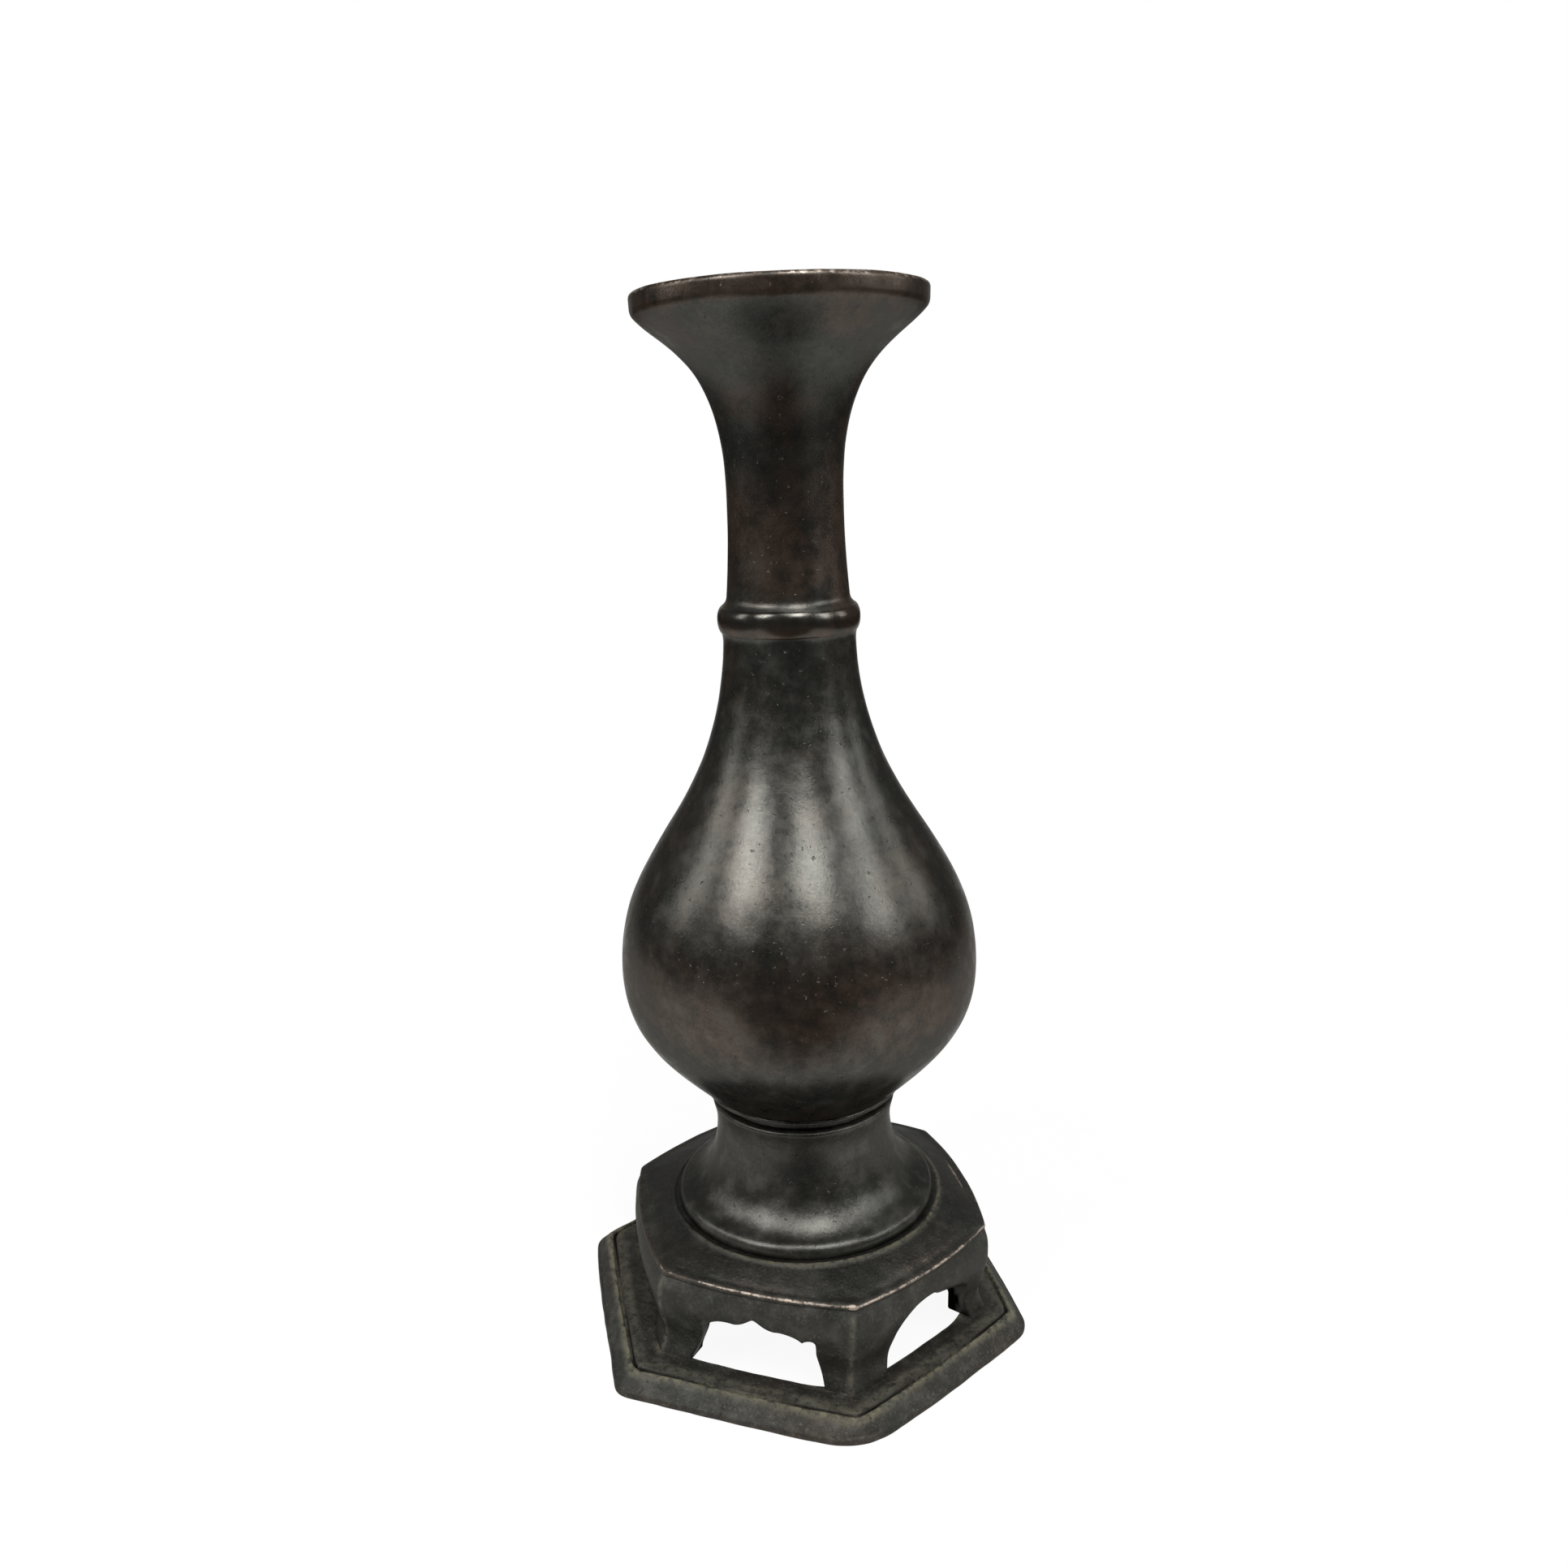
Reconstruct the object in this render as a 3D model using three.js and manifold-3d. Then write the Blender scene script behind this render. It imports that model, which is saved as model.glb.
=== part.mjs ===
// A cast bronze baluster vase on an openwork hexagonal stand.
// Millimetres, +Z up. The base frame is centred on the Z axis and rests on Z = 0.
// One side of the stand faces -Y, so the stand's corners lie at 0, 60, 120 degrees and so on.
import * as THREE from 'three'
import { mergeVertices } from 'three/addons/utils/BufferGeometryUtils.js'
import Module from 'manifold-3d'

const wasm = await Module()
wasm.setup()

// Heights, from the ground up
const frameHeight = 5.1            // the ledge that the legs stand on
const legHeight = 20.6             // from that ledge to the underside of the table's edge
const edgeHeight = 1.5
const domeRise = 2.6               // the table's top rises this much from its edge to the foot's seat
const footHeight = 29.4
const bodyHeight = 109.0           // from the foot's top to the shoulder under the neck ring
const bellyHeight = 32.2           // the widest place, above the foot's top
const neckRingHeight = 7.6
const neckHeight = 64.2            // from the neck ring to the top of the lip
const lipHeight = 4.4

// Radii and walls of the vase
const lipRadius = 31.2
const neckRadius = 12.7            // its narrowest place
const neckFootRadius = 13.7        // where it stands on the ring
const bodyNeckRadius = 14.8        // the body's radius just under the ring
const neckRingReach = 1.1          // the ring stands out past that
const bellyRadius = 41.8
const bodyFootRadius = 23.7
const footTopRadius = 22.8
const waistRadius = 21.2
const footFlareRadius = 29.9
const footEdgeRadius = 31.5
const neckBore = 8.8
const wall = 3.0                   // of the body and the foot
const lipWall = 3.4                // of the mouth at the lip

// The vase leans a little on its stand and the table's seat leans with it. The table's edge is out
// of level towards the same side, by less.
const leanSide = THREE.MathUtils.degToRad(200.7)
const vaseLean = THREE.MathUtils.degToRad(2.1)
const tableLean = THREE.MathUtils.degToRad(1.1)

// The stand's table, with its six legs
const tableApothem = 39.1          // centre to the middle of a side, before the side's bow
const tableBow = 2.4               // how far a side bulges past a straight line
const tableShift = new THREE.Vector2(0.7, 0.2) // from the middle of the base frame
const tableTurn = THREE.MathUtils.degToRad(-0.6)
const frontCornerTurn = THREE.MathUtils.degToRad(1.3) // the front corner is a little out of place
const apronBulge = 1.0             // the aprons swell out this much past the table's edge
const apronBulgeHeight = 14.6      // above the ledge
const ankleSetBack = 0.7           // and the legs draw in this much above their feet
const ankleHeight = 4.6
const footSplay = 0.6              // the feet turn out again
const edgeStep = 0.3               // the aprons start this much behind the table's edge
const tableWall = 3.3
const tableSkirt = 3.6             // the wall inside the aprons starts this far below their top
const tableHoleRadius = 17.0       // under the foot
const ringLineRadius = 33.5        // a fine raised line round the foot
const ringLineHeight = 0.7

// The windows between the legs, on the ledge
const windowFootHalf = 15.9
const windowTopHalf = 14.7
const archedSide = 5               // one window has a plain arch, narrower towards the front corner
const archNearHalf = 12.4
const archFarHalf = 15.6
const windowSide = 8.4             // height of the straight side
const windowToolDepth = 16
const lobeHeight = 11.6
const cuspHalf = 10.6
const cuspHeight = 11.1
const shoulderHalf = 4.4
const shoulderHeight = 13.0
const peakHeight = 15.4

// The base frame: an open hexagonal ring
const frameReach = 10.8            // from the table's side to the frame's outer edge
const frameApothem = tableApothem + frameReach
const frameBow = 0.8
const toeHeight = 2.1
const ridgeInset = 4.1
const ridgeApothem = frameApothem - ridgeInset
const ridgeHeight = 4.6
const grooveDepth = 0.9            // below the ledge
const grooveWidth = 1.1
const ledgeApothem = ridgeApothem - grooveWidth
const frameWidth = 11.5
const openingApothem = frameApothem - frameWidth
const openingCuts = [12, 12, 14, 16, 14, 12] // how far from each corner the opening is rounded
const toeCuts = [4, 4, 4, 3, 2.8, 9]

// Fasteners and fits
const clearance = 0.3
const legPinRadius = 0.8
const legPinHeadRadius = 1.3
const legPinCircle = tableApothem + 3.9 // from the table's centre, in the thick of each leg
const legPinDepth = 3.2            // into a leg
const rivetRadius = 1.1
const rivetHeadRadius = 2.2
const rivetCircle = 22.6
const rivetDepth = 3.6             // into the foot
const headHeight = 1.2
const headRecess = 0.5             // the leg pins' heads stay this far above the ground
const spigotLength = 5.0
const spigotWall = 1.4
const plugRadius = 18.4
const plugThickness = 2.4
const plugLedge = 2.4              // width of the ring that the plug bears on
const stubStep = 1.8               // the stubs inside the neck ring are this much slimmer

const ledgeZ = frameHeight
const edgeZ = ledgeZ + legHeight
const seatZ = edgeZ + edgeHeight + domeRise
const waistZ = seatZ + footHeight
const bellyZ = waistZ + bellyHeight
const ringZ = waistZ + bodyHeight
const neckZ = ringZ + neckRingHeight
const jointZ = (ringZ + neckZ) / 2
const topZ = neckZ + neckHeight
const creaseZ = topZ - lipHeight

// Places: the table stands a little off the frame's middle, the vase leans about the seat's centre
const leanAxis = new THREE.Vector3(-Math.sin(leanSide), Math.cos(leanSide), 0)

function leaningBy(angle) {
  return new THREE.Matrix4().makeTranslation(0, 0, seatZ)
    .multiply(new THREE.Matrix4().makeRotationAxis(leanAxis, angle))
    .multiply(new THREE.Matrix4().makeTranslation(0, 0, -seatZ))
}
const tableTilt = leaningBy(tableLean)
const vaseTilt = leaningBy(vaseLean)

const whole = new THREE.Group()
whole.name = 'bronze_baluster_vase'
const upper = new THREE.Group()
upper.name = 'table_and_vase'
upper.position.set(tableShift.x, tableShift.y, 0)
upper.rotation.z = tableTurn
upper.updateMatrix()
const vase = new THREE.Group()
vase.name = 'leaning_vase'
vase.position.z = seatZ
vase.quaternion.setFromAxisAngle(leanAxis, vaseLean)
upper.add(vase)
whole.add(upper)

const ROUND = 40
const HOLE_ROUND = 10
const bronze = {
  dark: { color: 0x38332f, roughness: 0.42, metalness: 0.75 },
  brown: { color: 0x3d2e26, roughness: 0.38, metalness: 0.75 },
  dull: { color: 0x3a3934, roughness: 0.62, metalness: 0.55 },
  raw: { color: 0x6b5a3c, roughness: 0.55, metalness: 0.7 },
}

// Outline tools: every outline is a list of [radius, height] or [x, y] points
const lerp = THREE.MathUtils.lerp

function bend(from, leave, arrive, to, steps) {
  const curve = new THREE.CubicBezierCurve(
    new THREE.Vector2(...from), new THREE.Vector2(...leave),
    new THREE.Vector2(...arrive), new THREE.Vector2(...to))
  return curve.getPoints(steps).map((point) => [point.x, point.y])
}

// Solids
function signedVolume(geometry) {
  const place = geometry.attributes.position
  const index = geometry.index.array
  const a = new THREE.Vector3()
  const b = new THREE.Vector3()
  const c = new THREE.Vector3()
  let sum = 0
  for (let i = 0; i < index.length; i += 3) {
    a.fromBufferAttribute(place, index[i])
    b.fromBufferAttribute(place, index[i + 1])
    c.fromBufferAttribute(place, index[i + 2])
    sum += a.dot(b.cross(c)) / 6
  }
  return sum
}

function closed(geometry) {
  geometry.deleteAttribute('normal')
  geometry.deleteAttribute('uv')
  const merged = mergeVertices(geometry, 1e-4)
  const kept = []
  const index = merged.index.array
  for (let i = 0; i < index.length; i += 3) {
    const [a, b, c] = [index[i], index[i + 1], index[i + 2]]
    if (a !== b && b !== c && c !== a) kept.push(a, b, c)
  }
  merged.setIndex(kept)
  if (signedVolume(merged) < 0) {
    for (let i = 0; i < kept.length; i += 3) [kept[i], kept[i + 1]] = [kept[i + 1], kept[i]]
    merged.setIndex(kept)
  }
  return merged
}

function turned(profile, segments = ROUND) {
  const points = profile.map(([radius, height]) => new THREE.Vector2(radius, height))
  if (profile[0][0] > 0) points.push(points[0].clone())
  const geometry = new THREE.LatheGeometry(points, segments)
  geometry.rotateX(Math.PI / 2)
  return closed(geometry)
}

// Joins rings of equal length into a skin that closes on itself, like a turned ring that isn't round
function ringSkin(rings) {
  const count = rings[0].length
  const positions = rings.flat().flatMap((point) => [point.x, point.y, point.z])
  const index = []
  for (let r = 0; r < rings.length; r += 1) {
    const here = r * count
    const next = ((r + 1) % rings.length) * count
    for (let i = 0; i < count; i += 1) {
      const j = (i + 1) % count
      index.push(here + i, here + j, next + j, here + i, next + j, next + i)
    }
  }
  const geometry = new THREE.BufferGeometry()
  geometry.setAttribute('position', new THREE.Float32BufferAttribute(positions, 3))
  geometry.setIndex(index)
  return closed(geometry)
}

function toSolid(geometry) {
  return new wasm.Manifold(new wasm.Mesh({
    numProp: 3,
    vertProperties: new Float32Array(geometry.attributes.position.array),
    triVerts: new Uint32Array(geometry.index.array),
  }))
}

function toGeometry(solid) {
  const mesh = solid.getMesh()
  const geometry = new THREE.BufferGeometry()
  geometry.setAttribute('position', new THREE.Float32BufferAttribute(mesh.vertProperties, 3))
  geometry.setIndex(Array.from(mesh.triVerts))
  return geometry
}

function carve(geometry, tools) {
  let solid = toSolid(geometry)
  for (const tool of tools) solid = solid.subtract(toSolid(tool))
  return toGeometry(solid)
}

function addPiece(parent, name, geometry, finish, [x, y, z] = [0, 0, 0]) {
  geometry.computeVertexNormals()
  const mesh = new THREE.Mesh(geometry, new THREE.MeshStandardMaterial({ ...finish, name }))
  mesh.name = name
  mesh.position.set(x, y, z)
  parent.add(mesh)
}

// A hexagon with bowed sides, its corners at 0, 60, 120 degrees and so on.
// Each corner is rounded off over its own length of cornerCuts.
const SIDE_STEPS = 4
const CORNER_STEPS = 3
const same = (value) => Array(6).fill(value)

function hexagon(apothem, bow, cornerCuts, height, cornerTurns = same(0)) {
  const radius = apothem / Math.cos(Math.PI / 6)
  const cornerAt = (corner) => new THREE.Vector2(radius, 0)
    .rotateAround(new THREE.Vector2(), corner * Math.PI / 3 + cornerTurns[corner % 6])
  const onSide = (side, t) => {
    const from = cornerAt(side)
    const to = cornerAt(side + 1)
    const out = from.clone().add(to).normalize().multiplyScalar(bow * 4 * t * (1 - t))
    return from.lerp(to, t).add(out)
  }
  const points = []
  for (let side = 0; side < 6; side += 1) {
    const cut = cornerCuts[side] / radius
    const nextCut = cornerCuts[(side + 1) % 6] / radius
    const corner = new THREE.QuadraticBezierCurve(
      onSide(side + 5, 1 - cut), onSide(side, 0), onSide(side, cut))
    for (let i = 0; i < CORNER_STEPS; i += 1) points.push(corner.getPoint(i / CORNER_STEPS))
    for (let i = 0; i < SIDE_STEPS; i += 1) {
      points.push(onSide(side, lerp(cut, 1 - nextCut, i / SIDE_STEPS)))
    }
  }
  return points.map((point) => new THREE.Vector3(point.x, point.y, height))
}

// The same points drawn towards a circle: share 0 is the hexagon, share 1 the circle
function towardsCircle(ring, radius, share, height) {
  return ring.map((point) => {
    const length = Math.hypot(point.x, point.y)
    const wanted = lerp(length, radius, share)
    return new THREE.Vector3(point.x * wanted / length, point.y * wanted / length, height)
  })
}

function around(count, radius, startDegrees) {
  const places = []
  for (let i = 0; i < count; i += 1) {
    const angle = THREE.MathUtils.degToRad(startDegrees + 360 * i / count)
    places.push([radius * Math.cos(angle), radius * Math.sin(angle)])
  }
  return places
}

// A straight round hole, or the tool that cuts it
function rod(radius, fromZ, toZ, [x, y]) {
  const profile = [[0, fromZ], [radius, fromZ], [radius, toZ], [0, toZ]]
  return turned(profile, HOLE_ROUND).translate(x, y, 0)
}

// Mouth and neck: one open tube that flares to a thick rounded lip
function mouthNeck() {
  const stubRadius = bodyNeckRadius - stubStep
  const flareZ = lerp(neckZ, topZ, 0.345)
  const flareLength = creaseZ - flareZ
  const outer = [
    [stubRadius, jointZ + clearance],
    [stubRadius, neckZ],
    ...bend([neckFootRadius, neckZ], [neckFootRadius - 0.5, neckZ + 5],
      [neckRadius, flareZ - 10], [neckRadius, flareZ], 3),
    ...bend([neckRadius, flareZ], [neckRadius, flareZ + flareLength * 0.75],
      [lipRadius - 7.6, creaseZ - 7.2], [lipRadius - 0.4, creaseZ], 9).slice(1),
  ]
  const lip = [
    [lipRadius - 0.1, creaseZ + lipHeight * 0.12],
    [lipRadius, creaseZ + lipHeight * 0.45],
    [lipRadius - 0.3, creaseZ + lipHeight * 0.84],
    [lipRadius - 1.5, topZ],
    [lipRadius - lipWall, topZ - 0.6],
  ]
  const inner = bend([lipRadius - lipWall - 1.0, topZ - 1.8], [lipRadius - lipWall - 8.0, creaseZ - 8.0],
    [neckBore, flareZ + flareLength * 0.7], [neckBore, flareZ - 2], 7)
  const spigot = [
    [neckBore, jointZ - spigotLength],
    [neckBore + spigotWall, jointZ - spigotLength],
    [neckBore + spigotWall, jointZ + clearance],
  ]
  return turned([...outer, ...lip, ...inner, ...spigot])
}

// Neck ring: a half-round collar, held between the body's shoulder and the neck
function neckRing() {
  const bore = bodyNeckRadius - stubStep + clearance
  const edge = bodyNeckRadius - 0.2
  const half = neckRingHeight / 2 - clearance
  const beadSteps = 6
  const bead = []
  for (let i = 0; i <= beadSteps; i += 1) {
    const angle = lerp(-Math.PI / 2, Math.PI / 2, i / beadSteps)
    bead.push([edge + (bodyNeckRadius + neckRingReach - edge) * Math.cos(angle),
      jointZ + half * Math.sin(angle)])
  }
  return turned([[bore, jointZ - half], ...bead, [bore, jointZ + half]])
}

// Body: a pear-shaped shell, open at the neck and at the core hole in its floor
function body() {
  const bore = neckBore + spigotWall + clearance
  const floorZ = waistZ + plugThickness + clearance
  const ledgeBore = plugRadius + clearance - plugLedge
  const outer = [
    [bodyFootRadius - 1.2, waistZ],
    [bodyFootRadius - 0.2, waistZ + 0.3],
    ...bend([bodyFootRadius, waistZ + 1.2], [bodyFootRadius + 11.2, waistZ + 12.9],
      [bellyRadius, bellyZ - 14.1], [bellyRadius, bellyZ], 7),
    ...bend([bellyRadius, bellyZ], [bellyRadius, bellyZ + 29.3],
      [bodyNeckRadius + 2.1, ringZ - 41.4], [bodyNeckRadius, ringZ], 11).slice(1),
    [bodyNeckRadius - stubStep, ringZ],
    [bodyNeckRadius - stubStep, jointZ],
  ]
  const inner = [
    [bore, jointZ],
    [bore, ringZ - 2],
    ...bend([bodyNeckRadius - wall, ringZ - 6], [bodyNeckRadius - wall + 2, ringZ - 40],
      [bellyRadius - wall, bellyZ + 26], [bellyRadius - wall, bellyZ], 7),
    ...bend([bellyRadius - wall, bellyZ], [bellyRadius - wall, bellyZ - 13],
      [bodyFootRadius + 8, waistZ + 15], [bodyFootRadius - 2, floorZ + wall], 4).slice(1),
    [ledgeBore, floorZ + wall],
    [ledgeBore, floorZ],
    [plugRadius + clearance, floorZ],
    [plugRadius + clearance, waistZ],
  ]
  return turned([...outer, ...inner])
}

function bodyPlug() {
  return turned([[0, waistZ], [plugRadius, waistZ], [plugRadius, waistZ + plugThickness],
    [0, waistZ + plugThickness]])
}

// Foot: a hollow waisted trumpet with a beaded lower edge and a recessed collar at its top
function foot() {
  const bottom = seatZ + clearance
  const top = waistZ - clearance
  const slimZ = lerp(seatZ, waistZ, 0.7)
  const outer = [
    [footEdgeRadius - 0.9, bottom],
    [footEdgeRadius - 0.1, bottom + 0.5],
    [footEdgeRadius, bottom + 1.2],
    [footEdgeRadius - 0.6, bottom + 1.9],
    ...bend([footFlareRadius, bottom + 2.4], [footFlareRadius - 7.2, bottom + 3.8],
      [waistRadius, slimZ - 6.0], [waistRadius, slimZ], 8),
    ...bend([waistRadius, slimZ], [waistRadius, slimZ + 2.6],
      [footTopRadius - 1.2, top - 4.2], [footTopRadius - 0.1, top - 3.0], 3).slice(1),
    [footTopRadius - 0.1, top - 2.4],
    [footTopRadius - 0.9, top - 2.0],
    [footTopRadius - 0.9, top],
  ]
  const bore = plugRadius - plugLedge
  const inner = [
    [bore, top],
    ...bend([bore, slimZ + 2], [bore, slimZ - 8],
      [rivetCircle - wall - 0.4, seatZ + 8], [rivetCircle - wall - 0.2, bottom], 4),
  ]
  const holes = around(3, rivetCircle, 90).map((place) => (
    rod(rivetRadius + clearance, seatZ - 1, seatZ + rivetDepth + clearance, place)))
  return carve(turned([...outer, ...inner]), holes)
}

// Stand table: a domed hexagonal top, aprons and six legs in one casting
function lobedHalf(mirror) {
  return [
    [windowFootHalf, -2], [windowFootHalf, 0.4],
    [lerp(windowFootHalf, windowTopHalf, 0.8), windowSide],
    ...bend([windowTopHalf, lobeHeight - 1.2], [windowTopHalf - 0.2, lobeHeight],
      [cuspHalf + 1.2, lobeHeight + 0.5], [cuspHalf, cuspHeight], 3),
    ...bend([cuspHalf, cuspHeight], [cuspHalf - 1.5, cuspHeight + 1.6],
      [shoulderHalf + 2, shoulderHeight + 0.3], [shoulderHalf, shoulderHeight], 3).slice(1),
    ...bend([shoulderHalf, shoulderHeight], [shoulderHalf - 2.4, shoulderHeight + 0.4],
      [1.6, peakHeight], [0, peakHeight], 3).slice(1),
  ].map(([x, y]) => [mirror * x, y])
}

function archedHalf(half, mirror) {
  return [
    [half, -2], [half, 0.4],
    ...bend([half, windowSide - 1], [half - 0.4, peakHeight - 2.6],
      [shoulderHalf + 1.4, peakHeight - 0.5], [0, peakHeight], 7),
  ].map(([x, y]) => [mirror * x, y])
}

function windowTool(side) {
  const [right, left] = side === archedSide
    ? [archedHalf(archFarHalf, 1), archedHalf(archNearHalf, -1)]
    : [lobedHalf(1), lobedHalf(-1)]
  const outline = [...right, ...left.slice(0, -1).reverse()]
    .map(([x, y]) => new THREE.Vector2(x, y + ledgeZ))
  const geometry = new THREE.ExtrudeGeometry(new THREE.Shape(outline),
    { depth: windowToolDepth, bevelEnabled: false, steps: 1 })
  geometry.rotateX(Math.PI / 2)
  geometry.translate(0, windowToolDepth / 2 - tableApothem, 0)
  geometry.rotateZ((side + 2) * Math.PI / 3)
  return closed(geometry)
}

function standTable() {
  const outerCut = same(1.5)
  const innerCut = same(16.0)           // the legs are thick behind the corners
  const flatRadius = rivetCircle + rivetHeadRadius + 1.6
  const top = edgeZ + edgeHeight
  const plateZ = seatZ - tableWall
  const inside = edgeZ - tableSkirt
  const faceBow = tableBow * 0.9
  const innerApothem = tableApothem - edgeStep - tableWall
  const turns = [0, 0, 0, 0, 0, frontCornerTurn]
  const tableHexagon = (...shape) => hexagon(...shape, turns)
  const edge = tableHexagon(tableApothem - 0.7, tableBow, outerCut, top)
  const innerTop = tableHexagon(innerApothem, faceBow, innerCut, inside)
  const face = (out, bowShare, height) => (
    tableHexagon(tableApothem + out, tableBow * bowShare, outerCut, height))
  const atEdge = (ring) => ring.map((point) => point.clone().applyMatrix4(tableTilt))
  const onSeat = (radius, height) => (
    towardsCircle(edge, radius, 1, height).map((point) => point.applyMatrix4(vaseTilt)))
  const rings = [
    face(footSplay, 0.5, ledgeZ),
    face(-ankleSetBack, 0.6, ledgeZ + ankleHeight),
    face(lerp(-ankleSetBack, apronBulge, 0.55), 0.75, ledgeZ + lerp(ankleHeight, apronBulgeHeight, 0.5)),
    atEdge(face(apronBulge, 0.9, ledgeZ + apronBulgeHeight)),
    atEdge(face(lerp(-edgeStep, apronBulge, 0.65), 0.95, lerp(edgeZ, ledgeZ + apronBulgeHeight, 0.3))),
    atEdge(face(-edgeStep, 1, edgeZ)),
    atEdge(face(-0.1, 1, edgeZ + edgeHeight * 0.25)),
    atEdge(face(0, 1, edgeZ + edgeHeight * 0.65)),
    atEdge(edge),
    atEdge(towardsCircle(edge, ringLineRadius + 0.5, 0.55, lerp(top, seatZ, 0.7))),
    onSeat(ringLineRadius + 0.6, seatZ + ringLineHeight * 0.3),
    onSeat(ringLineRadius, seatZ + ringLineHeight),
    onSeat(ringLineRadius - 0.6, seatZ),
    onSeat(tableHoleRadius, seatZ),
    onSeat(tableHoleRadius, plateZ),
    onSeat(flatRadius, plateZ),
    atEdge(towardsCircle(innerTop, flatRadius, 0.35, lerp(inside, plateZ, 0.7))),
    atEdge(innerTop),
    tableHexagon(innerApothem, faceBow * 0.6, innerCut, ledgeZ),
  ]
  const tools = [...Array(6).keys()].map(windowTool)
  for (const place of around(6, legPinCircle, 0)) {
    tools.push(rod(legPinRadius + clearance, ledgeZ - 1, ledgeZ + legPinDepth + clearance, place))
  }
  for (const place of around(3, rivetCircle, 90)) {
    tools.push(rod(rivetRadius + clearance, plateZ - 1, seatZ + 1, place).applyMatrix4(vaseTilt))
  }
  return carve(ringSkin(rings), tools)
}

// Base frame: toe, sloping band, ridge line, groove and ledge round an open middle
function baseFrame() {
  const bandCuts = toeCuts.map((cut) => lerp(cut, 2.6, 0.6))
  const lineCuts = same(2.4)
  const bandTop = ridgeApothem + 0.8
  const section = [
    [openingApothem, openingCuts, 0],
    [frameApothem - 0.9, toeCuts, 0],
    [frameApothem - 0.1, toeCuts, 0.6],
    [frameApothem - 0.1, toeCuts, toeHeight * 0.7],
    [frameApothem - 0.6, toeCuts, toeHeight],
    [lerp(frameApothem, bandTop, 0.6), bandCuts, lerp(toeHeight, ridgeHeight, 0.62)],
    [bandTop, lineCuts, ridgeHeight - 0.3],
    [ridgeApothem, lineCuts, ridgeHeight],
    [lerp(ledgeApothem, ridgeApothem, 0.6), lineCuts, ledgeZ - grooveDepth],
    [lerp(ledgeApothem, ridgeApothem, 0.3), lineCuts, ledgeZ - grooveDepth],
    [ledgeApothem, lineCuts, ledgeZ],
    [openingApothem + 0.5, openingCuts, ledgeZ],
    [openingApothem, openingCuts, ledgeZ - 0.5],
  ]
  const rings = section.map(([apothem, cuts, height]) => hexagon(apothem, frameBow, cuts, height))
  const tools = around(6, legPinCircle, 0).flatMap((place) => [
    rod(legPinRadius + clearance, -1, ledgeZ + 1, place),
    rod(legPinHeadRadius + clearance, -1, headRecess + headHeight, place),
  ])
  return carve(ringSkin(rings), tools.map((tool) => tool.applyMatrix4(upper.matrix)))
}

// A headed rod whose head starts at height 0
function pin(headRadius, shankRadius, length) {
  return turned([[0, 0], [headRadius * 0.7, 0], [headRadius, headHeight * 0.5], [headRadius, headHeight],
    [shankRadius, headHeight], [shankRadius, length], [0, length]], HOLE_ROUND)
}

addPiece(whole, 'base_frame', baseFrame(), bronze.dull)
addPiece(upper, 'stand_table', standTable(), bronze.dark)

const onVase = [0, 0, -seatZ]
addPiece(vase, 'foot', foot(), bronze.dark, onVase)
addPiece(vase, 'body_plug', bodyPlug(), bronze.raw, onVase)
addPiece(vase, 'body', body(), bronze.dark, onVase)
addPiece(vase, 'neck_ring', neckRing(), bronze.brown, onVase)
addPiece(vase, 'mouth_neck', mouthNeck(), bronze.brown, onVase)

const legPinLength = ledgeZ + legPinDepth - headRecess
around(6, legPinCircle, 0).forEach(([x, y], i) => {
  addPiece(upper, `leg_pin_${i + 1}`, pin(legPinHeadRadius, legPinRadius, legPinLength),
    bronze.raw, [x, y, headRecess])
})
const rivetLength = headHeight + tableWall + rivetDepth
around(3, rivetCircle, 90).forEach(([x, y], i) => {
  addPiece(vase, `foot_rivet_${i + 1}`, pin(rivetHeadRadius, rivetRadius, rivetLength),
    bronze.raw, [x, y, -tableWall - headHeight])
})

export default whole
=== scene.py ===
# %% [markdown]
# # A bronze baluster vase on an openwork stand
# An old cast bronze vase with a brown-black patina has a pear-shaped body, a slim neck with a ring at
# its foot, a flared mouth and a waisted foot. It stands on a hexagonal table with pierced aprons, whose
# six legs stand on an open hexagonal frame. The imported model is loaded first, because every finer piece
# is built around it.

# %% The frame
import math

import bpy
import numpy as np
from mathutils import Matrix, Vector


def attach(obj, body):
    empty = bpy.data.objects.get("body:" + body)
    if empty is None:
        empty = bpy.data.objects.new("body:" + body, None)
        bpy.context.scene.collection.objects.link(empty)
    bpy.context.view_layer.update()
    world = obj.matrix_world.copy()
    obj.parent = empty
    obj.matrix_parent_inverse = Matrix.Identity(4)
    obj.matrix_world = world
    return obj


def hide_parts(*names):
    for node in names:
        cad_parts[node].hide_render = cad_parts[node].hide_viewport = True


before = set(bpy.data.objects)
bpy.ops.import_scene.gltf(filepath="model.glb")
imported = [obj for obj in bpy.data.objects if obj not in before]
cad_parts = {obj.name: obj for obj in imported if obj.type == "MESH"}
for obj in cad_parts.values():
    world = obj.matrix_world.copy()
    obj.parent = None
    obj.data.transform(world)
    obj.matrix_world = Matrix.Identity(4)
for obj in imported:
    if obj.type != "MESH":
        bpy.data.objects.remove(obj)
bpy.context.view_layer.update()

MM = 0.001

# %% [markdown]
# ## Measures
# All lengths are in millimetres and are turned into metres when a piece is made. Heights go up from
# the ground.

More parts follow.
